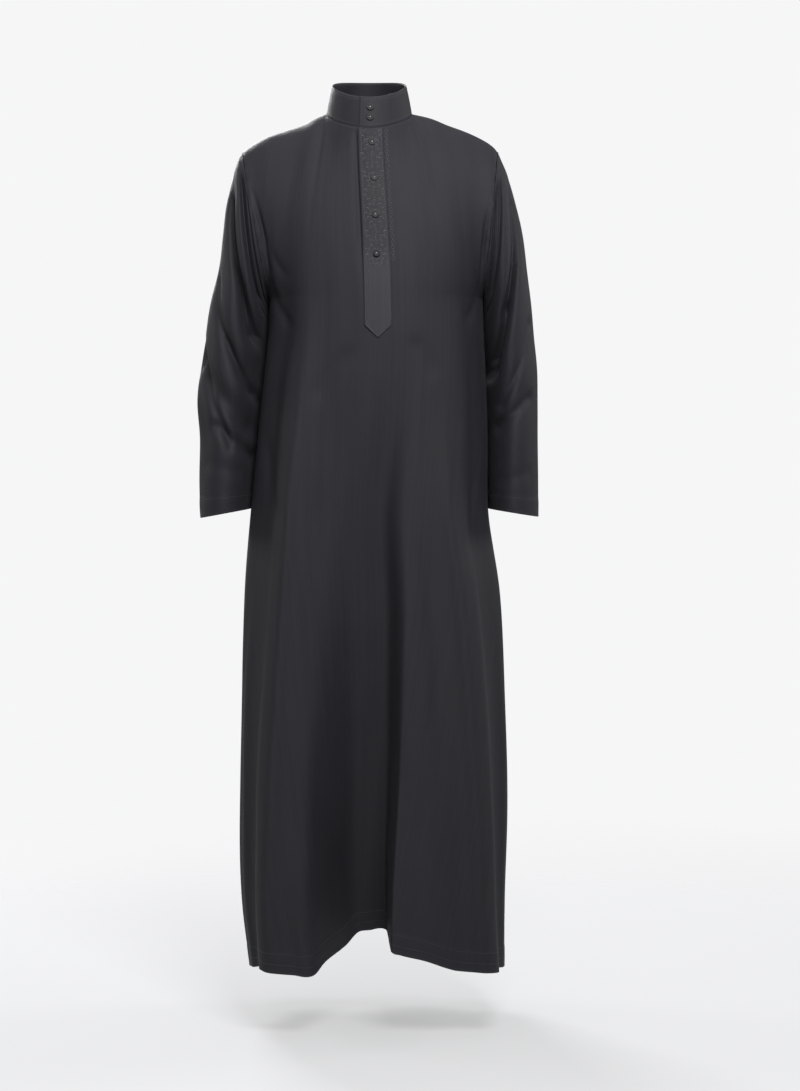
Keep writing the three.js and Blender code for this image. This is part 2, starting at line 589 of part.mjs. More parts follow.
const robe = new THREE.Group();
const collar = collarBand();
const placket = placketBand();
robe.add(frontPanel());
robe.add(backPanel());
robe.add(sleeve("sleeve_right", -1, RIGHT_SLEEVE, RIGHT_SLEEVE_FOLDS));
robe.add(sleeve("sleeve_left", 1, LEFT_SLEEVE, LEFT_SLEEVE_FOLDS));
robe.add(collar);
robe.add(placket);
robe.add(underlapBand());
for (const button of COLLAR_BUTTONS) robe.add(buttonOn(collar, button));
for (const button of PLACKET_BUTTONS) robe.add(buttonOn(placket, button));

export default robe;
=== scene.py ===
"""A charcoal robe with a stand collar and a buttoned half placket, hanging open and hollow as worn.

The cloth pieces follow the same cut as the solids, with the finer creases, seams, stitches, embroidery and
buttons added. Lengths are in millimetres until a mesh is made, +Z is up and the front faces -Y.
"""

import json
import logging
import math
from dataclasses import dataclass, field
from enum import Enum
from typing import Callable, Sequence

import bpy
import numpy as np
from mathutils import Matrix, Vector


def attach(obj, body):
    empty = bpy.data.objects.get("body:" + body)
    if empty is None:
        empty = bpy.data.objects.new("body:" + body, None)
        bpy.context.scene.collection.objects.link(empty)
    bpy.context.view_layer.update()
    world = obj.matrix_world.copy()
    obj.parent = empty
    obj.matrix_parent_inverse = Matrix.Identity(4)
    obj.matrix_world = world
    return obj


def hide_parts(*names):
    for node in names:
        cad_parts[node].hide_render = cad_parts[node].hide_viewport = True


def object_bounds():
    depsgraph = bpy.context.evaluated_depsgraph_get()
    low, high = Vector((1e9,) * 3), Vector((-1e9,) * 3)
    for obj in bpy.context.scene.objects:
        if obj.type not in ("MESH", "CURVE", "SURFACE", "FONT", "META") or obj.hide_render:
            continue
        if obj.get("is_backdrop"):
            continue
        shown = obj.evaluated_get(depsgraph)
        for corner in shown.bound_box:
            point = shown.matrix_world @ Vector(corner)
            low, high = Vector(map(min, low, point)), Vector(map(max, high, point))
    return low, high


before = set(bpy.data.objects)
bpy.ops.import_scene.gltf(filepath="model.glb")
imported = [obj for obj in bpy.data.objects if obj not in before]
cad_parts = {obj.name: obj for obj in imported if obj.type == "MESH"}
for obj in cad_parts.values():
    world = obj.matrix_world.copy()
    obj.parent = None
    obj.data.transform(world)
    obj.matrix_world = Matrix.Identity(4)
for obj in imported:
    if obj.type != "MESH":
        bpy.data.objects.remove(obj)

LOG = logging.getLogger("robe")
CAD_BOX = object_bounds()
MM = 0.001
EDGE_WEAR_MM = 3.0
STITCH_INSET = 3.0

Grid = np.ndarray


class Half(Enum):
    """The two body panels, by the sign of their y."""

    FRONT = -1
    BACK = 1


class Arm(Enum):
    """The two sleeves, by the sign of their x."""

    RIGHT = -1
    LEFT = 1


class Slot(Enum):
    """The material slots of the record."""

    SUITING = "suiting"
    COLLAR = "collar_suiting"
    PLACKET = "placket_suiting"
    BUTTON = "button_resin"


# Small helpers


def smooth(t: np.ndarray) -> np.ndarray:
    """Ease from 0 to 1 with flat ends, and stay there outside that range."""
    held = np.clip(t, 0.0, 1.0)
    return held * held * (3.0 - 2.0 * held)


def blend(a: np.ndarray, b: np.ndarray, t: np.ndarray) -> np.ndarray:
    """Give the value between a and b at the share t."""
    return a + (b - a) * t


def unit(vectors: np.ndarray) -> np.ndarray:
    """Scale vectors along the last axis to length 1."""
    length = np.linalg.norm(vectors, axis=-1, keepdims=True)
    return vectors / np.maximum(length, 1e-9)


def joined(*parts: Sequence[float]) -> np.ndarray:
    """Sort several runs of numbers into one, each number once."""
    return np.unique(np.round(np.concatenate([np.atleast_1d(part) for part in parts]), 6))


def turned_edge(above: np.ndarray, deep: float, thick: float) -> np.ndarray:
    """Give the relief of a turned and stitched edge.

    Args:
        above: Distance from the edge, in mm.
        deep: Depth of the turned cloth, in mm.
        thick: How far it stands out, in mm.

    Returns:
        The push out of the cloth, in mm.
    """
    row = np.exp(-(((above - deep + STITCH_INSET) / 1.6) ** 2))
    return thick * (1 - smooth((above - deep + 2) / 3)) - 0.35 * row


@dataclass(frozen=True)
class Table:
    """Rows of named columns, read smoothly between its rows.

    Attributes:
        columns: The names of the columns. The first is the key.
        rows: The rows, in any order.
    """

    columns: tuple[str, ...]
    rows: tuple[tuple[float, ...], ...]

    def read(self, column: str, at: np.ndarray) -> np.ndarray:
        """Read one column with a cubic through its neighbours.

        Args:
            column: The column to read.
            at: Values of the key, held to the table's range.

        Returns:
            The column's value at each key.
        """
        rows = np.array(sorted(self.rows))
        key, value = rows[:, 0], rows[:, self.columns.index(column)]
        at = np.clip(at, key[0], key[-1])
        upper = np.clip(np.searchsorted(key, at, side="right"), 1, len(key) - 1)
        before, after = np.maximum(upper - 2, 0), np.minimum(upper + 1, len(key) - 1)
        first, last = upper == 1, upper == len(key) - 1
        t0, t1 = key[upper - 1], key[upper]
        v0, v1 = value[upper - 1], value[upper]
        half = (t1 - t0) / 2
        before_weight = half / (t0 - np.where(first, t1, key[before]))
        after_weight = half / (np.where(last, t0, key[after]) - t1)
        p = (at - t0) / (t1 - t0)
        p2, p3 = p * p, p * p * p
        a, b = before_weight, after_weight
        return (
            np.where(first, v1, value[before]) * a * (2 * p2 - p3 - p)
            + v0 * ((1 + a) * p3 - (1.5 + 2 * a) * p2 + (a - 0.5) * p + 1)
            + v1 * ((1.5 + b) * p2 - (1 + b) * p3 + 0.5 * p)
            + np.where(last, v0, value[after]) * b * (p3 - p2)
        )


@dataclass(frozen=True)
class Fold:
    """A large fold that runs down a panel, placed by its share across the panel.

    Attributes:
        top: Height where it starts.
        full: Height where it has its whole depth.
        end: Height where it has faded out. A very low one runs on through the hem.
        side_top: Share across the panel at the top.
        side_end: Share across the panel at the hem.
        depth: Reach out of the cloth, or into it where negative.
        width: Share across the panel that half of it takes.
    """

    top: float
    full: float
    end: float
    side_top: float
    side_end: float
    depth: float
    width: float

    def push(self, side: np.ndarray, z: np.ndarray, hem: float) -> np.ndarray:
        """Work out how far the fold moves the cloth out."""
        grown = smooth((self.top - z) / (self.top - self.full))
        remaining = 1 - smooth((self.full - z) / (self.full - self.end))
        centre = blend(self.side_top, self.side_end, np.clip((self.top - z) / (self.top - hem), 0, 1))
        near = smooth(1 - np.clip(np.abs(side - centre) / self.width, 0, 1))
        return self.depth * grown * remaining * near


@dataclass(frozen=True)
class Crease:
    """A crease from one place to another on a flat map of the cloth, in millimetres.

    Attributes:
        a: Start, across and up.
        b: End, across and up.
        depth: Reach out of the cloth, or into it where negative.
        width: Half its width.
        bow: How far its middle is bowed sideways.
        skew: How much one flank rises while the other falls.
    """

    a: tuple[float, float]
    b: tuple[float, float]
    depth: float
    width: float
    bow: float = 0.0
    skew: float = 0.0

    def push(self, across: np.ndarray, up: np.ndarray) -> np.ndarray:
        """Work out how far the crease moves the cloth out."""
        run = np.array([self.b[0] - self.a[0], self.b[1] - self.a[1]])
        length = np.hypot(*run)
        along = ((across - self.a[0]) * run[0] + (up - self.a[1]) * run[1]) / length**2
        off = ((across - self.a[0]) * run[1] - (up - self.a[1]) * run[0]) / length
        off = (off - self.bow * 4 * along * (1 - along)) / self.width
        taper = smooth(along / 0.3) * smooth((1 - along) / 0.3)
        return self.depth * taper * np.exp(-off * off) * (1 + self.skew * off)


@dataclass(frozen=True)
class Unevenness:
    """Slow waves in hanging cloth, from a few plane waves with a fixed seed.

    Attributes:
        seed: Seed of the random numbers.
        height: About the greatest push, in mm.
        across: Shortest wave across the cloth, in mm.
        up: Shortest wave along the cloth, in mm.
        waves: How many waves are added.
    """

    seed: int
    height: float
    across: float
    up: float
    waves: int = 14

    def push(self, across: np.ndarray, up: np.ndarray) -> np.ndarray:
        """Work out how far the waves move the cloth out."""
        rng = np.random.default_rng(self.seed)
        total = np.zeros_like(across)
        for _ in range(self.waves):
            turn, stretch = rng.uniform(0, 2 * np.pi), rng.uniform(1, 2.6)
            phase = rng.uniform(0, 2 * np.pi)
            wave = np.cos(turn) * across / self.across + np.sin(turn) * up / self.up
            total = total + np.sin(2 * np.pi * wave / stretch + phase)
        return self.height * total / math.sqrt(self.waves)


# The cut


@dataclass(frozen=True)
class Cut:
    """The cut and hang of the whole robe, which every piece reads. Sizes are in mm."""

    cloth: float = 1.6
    stiffened: float = 2.0
    band: float = 1.4
    seam: float = 0.3
    underarm: float = -290.0
    hem: float = -1350.0
    neck_share: float = 0.43
    armhole_front: float = 72.0
    armhole_back: float = 80.0
    skirt_rows: int = 17
    chest_rows: int = 12
    right_shoulder: Table = Table(("x", "z"), (
        (-201, -58), (-193, -51.5), (-177, -42), (-160, -33), (-134, -24), (-102, -13), (-86, -4), (-68, 4)))
    left_shoulder: Table = Table(("x", "z"), (
        (68, 4), (100, -4), (124, -14), (149, -23), (172, -33), (189, -42.5), (198, -50), (204, -57)))
    front_hem: Table = Table(("side", "z"), (
        (-1, -1355), (-0.75, -1347), (-0.53, -1336), (-0.38, -1341), (-0.29, -1342), (-0.24, -1329),
        (-0.14, -1314), (-0.08, -1297), (-0.03, -1294), (0.058, -1294), (0.078, -1304), (0.12, -1309),
        (0.23, -1318), (0.36, -1334), (0.51, -1340), (1, -1358)))
    back_hem: Table = Table(("side", "z"), (
        (-1, -1355), (-0.5, -1339), (0, -1330), (0.5, -1341), (1, -1359)))
    sections: Table = Table(("z", "right", "left", "front", "back", "square"), (
        (-1350, 191.5, 216.5, 172, 176, 0.1), (-1250, 203, 217, 168, 170, 0.1),
        (-1100, 207, 220.5, 161, 160, 0.1), (-940, 204.5, 217.2, 153, 149, 0.1),
        (-760, 199, 209, 144, 137, 0.09), (-627, 188, 190, 137, 126, 0.09),
        (-515, 178, 189, 132, 117, 0.08), (-400, 166, 185, 128, 113, 0.07),
        (-340, 160, 182, 126, 116, 0.06), (-290, 159, 180, 123, 119, 0.05)))
    front_folds: tuple[Fold, ...] = (
        Fold(-180, -620, -9000, -0.4, -0.49, 11, 0.2), Fold(-620, -1300, -9000, -0.42, -0.49, 17, 0.17),
        Fold(-160, -420, -9000, -0.58, -0.68, -9, 0.2), Fold(-300, -650, -9000, 0.4, 0.53, 11, 0.2),
        Fold(-620, -1300, -9000, 0.44, 0.53, 17, 0.17), Fold(-260, -560, -9000, 0.58, 0.73, -9, 0.2),
        Fold(-330, -520, -900, 0.12, 0.1, -5, 0.16), Fold(-480, -900, -9000, -0.2, -0.27, 7, 0.16),
        Fold(-520, -960, -9000, 0.2, 0.27, 6, 0.18))
    back_folds: tuple[Fold, ...] = (
        Fold(-220, -700, -9000, -0.42, -0.5, 13, 0.24), Fold(-300, -820, -9000, -0.66, -0.74, -8, 0.2),
        Fold(-150, -620, -9000, -0.12, -0.16, -13, 0.24), Fold(-420, -1100, -9000, 0.08, 0.12, 10, 0.2),
        Fold(-260, -900, -9000, 0.3, 0.34, -12, 0.2), Fold(-240, -740, -9000, 0.5, 0.56, 13, 0.22),
        Fold(-380, -900, -9000, 0.74, 0.8, -7, 0.18))
    seam_fade: float = 0.12
    slit_share: float = 0.0022
    slit_foot: float = -318.0
    placket_foot: float = -338.0
    placket_point: float = -357.0
    recess_top: float = -410.0
    recess_depth: float = 142.0
    recess_growth: float = 1.5
    recess_soft: tuple[float, float] = (-0.34, -0.07)
    step_from: float = 0.058
    step_soft: float = 0.19
    step_steep: float = 0.02

    def tip(self, sign: np.ndarray) -> tuple[np.ndarray, np.ndarray]:
        """Give x and z of the shoulder tip on each side."""
        right, left = self.right_shoulder.rows[0], self.left_shoulder.rows[-1]
        return np.where(sign < 0, right[0], left[0]), np.where(sign < 0, right[1], left[1])

    def underarm_reach(self, sign: np.ndarray) -> np.ndarray:
        """Give how far the underarm point lies from the centre plane on each side."""
        last = self.sections.rows[-1]
        return np.where(sign < 0, last[1], last[2])

    def section(self, half: Half, side: np.ndarray, z: np.ndarray) -> np.ndarray:
        """Place points of the body at a height, with the large folds.

        Args:
            half: Front or back.
            side: Share across the panel, -1 at the right side seam and 1 at the left.
            z: Height.

        Returns:
            The points.
        """
        right, left, square = (self.sections.read(name, z) for name in ("right", "left", "square"))
        turn = side * np.pi / 2
        corner = 1 + square * np.sin(2 * turn) ** 2
        centre, reach = (left - right) / 2, (left + right) / 2
        depth = self.sections.read("front" if half is Half.FRONT else "back", z)
        out = unit(np.stack([np.sin(turn) / reach, np.cos(turn) / depth], axis=-1))
        folds = self.front_folds if half is Half.FRONT else self.back_folds
        at_seam = smooth((1 - np.abs(side)) / self.seam_fade)
        push = at_seam * sum(fold.push(side, z, self.hem) for fold in folds)
        hollow = self.recess(side, z) if half is Half.FRONT else 0.0
        x = centre + reach * np.sin(turn) * corner + out[..., 0] * push
        y = depth * np.cos(turn) * corner + out[..., 1] * push - hollow
        return np.stack([x, half.value * y, z], axis=-1)

    def recess(self, side: np.ndarray, z: np.ndarray) -> np.ndarray:
        """Work out how far the front falls back between the legs."""
        grown = np.clip((self.recess_top - z) / (self.recess_top - self.hem), 0, 1) ** self.recess_growth
        soft_from, soft_to = self.recess_soft
        soft = smooth((side - soft_from) / (soft_to - soft_from))
        step = 1 - smooth((side - self.step_from) / blend(self.step_soft, self.step_steep, np.sqrt(grown)))
        return self.recess_depth * grown * soft * step

    def armhole(self, sign: np.ndarray, turn: np.ndarray) -> np.ndarray:
        """Place points of an armhole: turn 0 is the shoulder tip and pi the underarm."""
        tip_x, tip_z = self.tip(sign)
        drop = (1 - np.cos(turn)) / 2
        depth = np.where(np.sin(turn) > 0, -self.armhole_front, self.armhole_back)
        x = blend(tip_x, np.sign(sign) * self.underarm_reach(sign), drop)
        return np.stack([x, depth * np.abs(np.sin(turn)), blend(tip_z, self.underarm, drop)], axis=-1)

    def armhole_reach(self, sign: np.ndarray, z: np.ndarray) -> np.ndarray:
        """Give the distance of an armhole's slanted plane from the centre plane at a height."""
        tip_x, tip_z = self.tip(sign)
        share = np.clip((tip_z - z) / (tip_z - self.underarm), 0, 1)
        return blend(np.abs(tip_x), self.underarm_reach(sign), share)

    def top_edge(self, half: Half, side: np.ndarray) -> np.ndarray:
        """Place the upper edge of a panel: the neckline, and a shoulder seam at each side."""
        sign = np.where(side < 0, -1.0, 1.0)
        share = np.abs(side) / self.neck_share
        turn = sign * np.minimum(share, 1) * np.pi / 2
        neck = NECK_SEAM.place(turn if half is Half.FRONT else np.pi - turn)
        out = np.clip((np.abs(side) - self.neck_share) / (1 - self.neck_share), 0, 1)
        x = blend(sign * NECK_SEAM.half_width, self.tip(sign)[0], out)
        z = np.where(sign < 0, self.right_shoulder.read("z", x), self.left_shoulder.read("z", x))
        shoulder = np.stack([x, np.zeros_like(x), z], axis=-1)
        return np.where((share <= 1)[..., None], neck, shoulder)

    def chest(self, half: Half, side: np.ndarray, up: np.ndarray) -> np.ndarray:
        """Place points above the underarm.

        A column leaves the chest the way the section below it leans, and rolls over the shoulder.

        Args:
            half: Front or back.
            side: Share across the panel.
            up: Share from the underarm to the upper edge.

        Returns:
            The points.
        """
        low = np.full_like(side, self.underarm)
        foot, head = self.section(half, side, low), self.top_edge(half, side)
        rise = head[..., 2] - foot[..., 2]
        below = 30
        lean = (foot - self.section(half, side, low - below)) * (rise / below)[..., None] * 1.25
        upright = 1 - smooth((np.abs(side) - 0.05) / 0.5)
        back = -half.value * np.abs(head[..., 1] - foot[..., 1]) * blend(1.9, 0.9, upright)
        roll = np.stack([np.zeros_like(back), back, rise * blend(0.12, 0.75, upright)], axis=-1)
        t = up[..., None]
        return (
            foot * (2 * t**3 - 3 * t**2 + 1)
            + lean * (t**3 - 2 * t**2 + t)
            + head * (3 * t**2 - 2 * t**3)
            + roll * (t**3 - t**2)
        )

    def panel(self, half: Half, side: np.ndarray, row: np.ndarray) -> np.ndarray:
        """Place points of a panel.

        Args:
            half: Front or back.
            side: Share across the panel, from -1 to 1.
            row: 0 at the hem, skirt_rows at the underarm, then up to the top edge.

        Returns:
            The points.
        """
        hem = (self.front_hem if half is Half.FRONT else self.back_hem).read("z", side)
        rise = np.clip(row / self.skirt_rows, 0, 1)
        skirt = self.section(half, side, blend(hem, self.underarm, rise))
        up = np.clip((row - self.skirt_rows) / self.chest_rows, 0, 1)
        sign = np.where(side < 0, -1.0, 1.0)
        pull = np.clip((np.abs(side) - 0.1) / 0.9, 0, 1) ** 1.6
        turn = np.pi * (1 - up) if half is Half.FRONT else np.pi * (1 + up)
        edge = self.armhole(sign, turn) - self.chest(half, sign, up)
        chest = self.chest(half, side, up) + edge * pull[..., None]
        return self.hold(half, np.where((row <= self.skirt_rows)[..., None], skirt, chest))

    def hold(self, half: Half, points: np.ndarray) -> np.ndarray:
        """Keep points of a panel on its own side of the side seams and the armholes."""
        x, y, z = points[..., 0], points[..., 1], points[..., 2]
        sign = np.where(x < 0, -1.0, 1.0)
        reach = self.armhole_reach(sign, z)
        held = np.where(z > self.underarm, sign * np.minimum(np.abs(x), reach), x)
        return np.stack([held, half.value * np.maximum(half.value * y, self.seam / 2), z], axis=-1)


@dataclass(frozen=True)
class Ring:
    """A level-ish ring round the neck, in mm: z = side - tilt cos(turn) - dip cos(turn) squared."""

    half_width: float
    half_depth: float
    side: float
    tilt: float
    dip: float

    def place(self, turn: np.ndarray) -> np.ndarray:
        """Place points of the ring, turn 0 in front and growing towards the left."""
        c = np.cos(turn)
        z = self.side - self.tilt * c - self.dip * c * c
        return np.stack([self.half_width * np.sin(turn), -self.half_depth * c, z], axis=-1)


NECK_SEAM = Ring(68, 74, 4, 21.5, 10)
COLLAR_TOP = Ring(59, 65, 48.5, 20.5, 6.5)
CUT = Cut()


# Meshes


def grid_normals(grid: Grid, closed: bool = False) -> Grid:
    """Work out the outward direction at each point of a grid.

    Args:
        grid: Rows by columns of points.
        closed: True where the last column is the first one again.

    Returns:
        A unit vector for each point.
    """
    if closed:
        ring = grid[:, :-1]
        across = np.roll(ring, -1, axis=1) - np.roll(ring, 1, axis=1)
        across = np.concatenate([across, across[:, :1]], axis=1)
    else:
        across = np.gradient(grid, axis=1)
    return unit(np.cross(across, np.gradient(grid, axis=0)))


def flat_map(grid: Grid, middle: int) -> Grid:
    """Measure a grid's cloth: across from a middle column and up from its first row, in mm."""
    across = np.cumsum(np.linalg.norm(np.diff(grid, axis=1), axis=-1), axis=1)
    across = np.concatenate([np.zeros((len(grid), 1)), across], axis=1)
    up = np.cumsum(np.linalg.norm(np.diff(grid, axis=0), axis=-1), axis=0)
    up = np.concatenate([np.zeros((1, grid.shape[1])), up])
    return np.stack([across - across[:, middle : middle + 1], up], axis=-1)


def ring_faces(rings: int, around: int) -> np.ndarray:
    """Give the faces between rings of points that follow one another, as rows of four corners."""
    ids = np.arange(rings * around).reshape(rings, around)
    ids = np.concatenate([ids, ids[:, :1]], axis=1)
    return np.stack([ids[:-1, :-1], ids[1:, :-1], ids[1:, 1:], ids[:-1, 1:]], axis=-1).reshape(-1, 4)


def new_object(name: str, points: np.ndarray, faces: np.ndarray) -> bpy.types.Object:
    """Make a smooth-shaded mesh object from points in mm and rows of four corners."""
    mesh = bpy.data.meshes.new(name)
    mesh.from_pydata((points * MM).tolist(), [], faces.tolist())
    mesh.validate()
    mesh.shade_smooth()
    made = bpy.data.objects.new(name, mesh)
    bpy.context.scene.collection.objects.link(made)
    return made


@dataclass
class Faces:
    """Faces as they are gathered, with the place on the cloth of each corner.

    Attributes:
        corners: Runs of faces, as rows of four points' numbers.
        places: The corners' places on the cloth map, in mm.
    """

    corners: list[np.ndarray] = field(default_factory=list)
    places: list[np.ndarray] = field(default_factory=list)

    def add(self, corners: Sequence[np.ndarray], places: Sequence[np.ndarray]) -> None:
        """Add a run of faces from four arrays of points and of cloth places."""
        self.corners.append(np.stack([corner.ravel() for corner in corners], axis=-1))
        self.places.append(np.stack([place.reshape(-1, 2) for place in places], axis=1))

    def strip(self, a: np.ndarray, b: np.ndarray, place: np.ndarray) -> None:
        """Add the faces between two lines of points that have the same cloth places."""
        self.add([a[1:], a[:-1], b[:-1], b[1:]], [place[1:], place[:-1], place[:-1], place[1:]])


@dataclass
class Wall:
    """A closed wall of cloth from a grid of points on its outer side, with rounded rims.

    Attributes:
        name: Name of the piece.
        outer: Rows by columns of points, each row running so that across x up faces out.
        thickness: Thickness of the wall.
        closed: True where the last column is the first one again.
        hold: Moves points of the inner side to where they may be.
        cut_out: Cells that are left open, rows by columns.
        middle: The column from which the cloth is measured across.
    """

    name: str
    outer: Grid
    thickness: float
    closed: bool = False
    hold: Callable[[Grid], Grid] | None = None
    cut_out: np.ndarray | None = None
    middle: int = 0

    def rim(self, inner: Grid, rows: slice, columns: slice, away: Grid) -> Grid:
        """Place the points that round one rim, half a wall out from its edge."""
        middle = (self.outer[rows, columns] + inner[rows, columns]) / 2
        return middle + unit(self.outer[rows, columns] - away) * self.thickness * 0.35

    def build(self) -> bpy.types.Object:
        """Make the wall's mesh, with its cloth map and its distance from the nearest edge."""
        rows, columns = self.outer.shape[:2]
        ring = columns - 1 if self.closed else columns
        inner = self.outer - grid_normals(self.outer, self.closed) * self.thickness
        inner = inner if self.hold is None else self.hold(inner)
        ids = np.arange(rows * ring).reshape(rows, ring)
        if self.closed:
            ids = np.concatenate([ids, ids[:, :1]], axis=1)
        below = ids + rows * ring
        points = [self.outer[:, :ring].reshape(-1, 3), inner[:, :ring].reshape(-1, 3)]
        cloth = flat_map(self.outer, self.middle)
        faces = Faces()
        kept = np.ones((rows - 1, columns - 1), bool) if self.cut_out is None else ~self.cut_out
        cells = [(slice(None, -1), slice(None, -1)), (slice(None, -1), slice(1, None)),
                 (slice(1, None), slice(1, None)), (slice(1, None), slice(None, -1))]
        faces.add([ids[c][kept] for c in cells], [cloth[c][kept] for c in cells])
        order = [cells[0], cells[3], cells[2], cells[1]]
        faces.add([below[c][kept] for c in order], [cloth[c][kept] for c in order])
        count = 2 * rows * ring
        everything = slice(None)
        rims = [(0, everything, 1, 1), (rows - 1, everything, rows - 2, -1)]
        if not self.closed:
            rims += [(everything, 0, 1, -1), (everything, columns - 1, columns - 2, 1)]
        for row, column, inward, turn in rims:
            away = self.outer[inward, column] if isinstance(row, int) else self.outer[row, inward]
            line = self.rim(inner, row, column, away)
            a, b, place = ids[row, column], below[row, column], cloth[row, column]
            m = np.arange(len(line)) + count
            if self.closed:
                line = line[:-1]
                m = np.concatenate([m[:-1], m[:1]])
            points.append(line)
            count += len(line)
            if turn < 0:
                a, b, m, place = a[::-1], b[::-1], m[::-1], place[::-1]
            faces.strip(a, m, place)
            faces.strip(m, b, place)
        if self.cut_out is not None:
            self.close_cut(faces, ids, below, cloth)
        made = new_object(self.name, np.concatenate(points), np.concatenate(faces.corners))
        self.write_maps(made, np.concatenate(faces.places), cloth, ring, count)
        return made

    def close_cut(self, faces: Faces, ids: np.ndarray, below: np.ndarray, cloth: Grid) -> None:
        """Close the sides and the foot of an opening that runs up through the top edge.

        Args:
            faces: Where the faces go.
            ids: Numbers of the outer points, rows by columns.
            below: Numbers of the inner points.
            cloth: The cloth map.
        """
        open_rows, open_columns = np.nonzero(self.cut_out)
        first, column = open_rows.min(), open_columns.min()
        low, high = slice(first, len(ids) - 1), slice(first + 1, len(ids))
        for at, flip in ((column, False), (column + 1, True)):
            corners = [ids[low, at], ids[high, at], below[high, at], below[low, at]]
            places = [cloth[low, at], cloth[high, at], cloth[high, at], cloth[low, at]]
            faces.add(corners[::-1] if flip else corners, places[::-1] if flip else places)
        across = slice(column, column + 2)
        a, b, place = ids[first, across], below[first, across], cloth[first, across]
        faces.add([a[:1], a[1:], b[1:], b[:1]], [place[:1], place[1:], place[1:], place[:1]])

    def write_maps(
        self, made: bpy.types.Object, maps: np.ndarray, cloth: Grid, ring: int, count: int
    ) -> None:
        """Write the cloth map in mm as a UV layer, and how near each point is to an edge.

        Args:
            made: The wall's object.
            maps: The cloth place of each corner.
            cloth: The cloth map of the outer side.
            ring: Points round a row.
            count: Points in the whole mesh.
        """
        layer = made.data.uv_layers.new(name="cloth_mm")
        layer.data.foreach_set("uv", maps.reshape(-1))
        up = np.minimum(cloth[..., 1], cloth[-1, :, 1] - cloth[..., 1])
        if not self.closed:
            across = cloth[..., 0] - cloth[:, :1, 0]
            up = np.minimum(up, np.minimum(across, across[:, -1:] - across))
        near = np.exp(-up[:, :ring] / EDGE_WEAR_MM).ravel()
        values = np.ones(count, dtype=np.float32)
        values[: 2 * len(near)] = np.concatenate([near, near])
        made.data.attributes.new("edge", "FLOAT", "POINT").data.foreach_set("value", values)


@dataclass(frozen=True)
class Template:
    """A small mesh that is repeated.

    Attributes:
        points: Its points, in mm.
        faces: Its faces, as rows of four corners.
    """

    points: np.ndarray
    faces: np.ndarray


def thread_template(
    length: float, radius: float, rings: int = 5, sides: int = 6, arch: float = 0.6
) -> Template:
    """Make one stitch: a short arched thread along x with its ends sunk into the cloth.

    Args:
        length: Length of the stitch.
        radius: Half the thread's thickness.
        rings: Rings of points along it.
        sides: Points round it.
        arch: How far the middle lies over the ends, in thread radii.

    Returns:
        The template.
    """
    share = np.linspace(0, 1, rings)
    swell = np.sqrt(np.clip(1 - (2 * share - 1) ** 4, 0.02, 1)) * radius
    turn = np.arange(sides) / sides * 2 * np.pi
    x = np.repeat((share - 0.5) * length, sides)
    y = (swell[:, None] * np.cos(turn)).ravel()
    lift = (arch * radius * np.sin(share * np.pi) - 0.3 * radius)[:, None]
    z = (lift + swell[:, None] * np.sin(turn)).ravel()
    return Template(np.stack([x, y, z], axis=-1), ring_faces(rings, sides))


def scatter(name: str, template: Template, places: np.ndarray, frames: np.ndarray) -> bpy.types.Object:
    """Join copies of a template into one object.

    Args:
        name: Name of the piece.
        template: What is repeated.
        places: A point for each copy.
        frames: Three direction vectors for each copy, which may stretch it.

    Returns:
        The object.
    """
    points = np.einsum("tk,nkc->ntc", template.points, frames) + places[:, None]
    steps = np.arange(len(places))[:, None, None] * len(template.points)
    return new_object(name, points.reshape(-1, 3), (template.faces[None] + steps).reshape(-1, 4))


def read_line(vectors: np.ndarray, length: np.ndarray, at: np.ndarray) -> np.ndarray:
    """Read vectors that are given along a line at other lengths along it."""
    return np.stack([np.interp(at, length, vectors[:, axis]) for axis in range(3)], axis=-1)


def walk(line: np.ndarray, out: np.ndarray, pitch: float) -> tuple[np.ndarray, np.ndarray, np.ndarray]:
    """Step along a line at an even pitch.

    Args:
        line: Points of the line.
        out: The outward direction at each point.
        pitch: Distance between steps.

    Returns:
        Places, directions along the line, and outward directions.
    """
    length = np.concatenate([[0], np.cumsum(np.linalg.norm(np.diff(line, axis=0), axis=-1))])
    at = np.arange(pitch / 2, length[-1], pitch)
    nudge = 0.5
    ahead, behind = read_line(line, length, at + nudge), read_line(line, length, at - nudge)
    return read_line(line, length, at), unit(ahead - behind), unit(read_line(out, length, at))


def frames_of(along: np.ndarray, out: np.ndarray) -> np.ndarray:
    """Turn directions along and out into frames of three vectors."""
    side = unit(np.cross(out, along))
    return np.stack([along, side, np.cross(along, side)], axis=1)


# Finishes


def linear(colour: str) -> tuple[float, float, float, float]:
    """Turn an sRGB hex colour such as 3a3b40 into linear light."""
    shares = [int(colour[i : i + 2], 16) / 255 for i in (0, 2, 4)]
    return (*[c / 12.92 if c <= 0.04045 else ((c + 0.055) / 1.055) ** 2.4 for c in shares], 1.0)


def add_node(
    tree: bpy.types.NodeTree, kind: str, values: dict | None = None, links: dict | None = None,
    **settings: object,
) -> bpy.types.Node:
    """Add a node with its settings and links.

    Args:
        tree: The node tree.
        kind: The node's type.
        values: Values of input sockets, by name or number.
        links: Output sockets that feed input sockets, by name or number.
        **settings: The node's own properties.

    Returns:
        The node.
    """
    made = tree.nodes.new(kind)
    for key, value in settings.items():
        setattr(made, key, value)
    for key, value in (values or {}).items():
        made.inputs[key].default_value = value
    for key, socket in (links or {}).items():
        tree.links.new(socket, made.inputs[key])
    return made


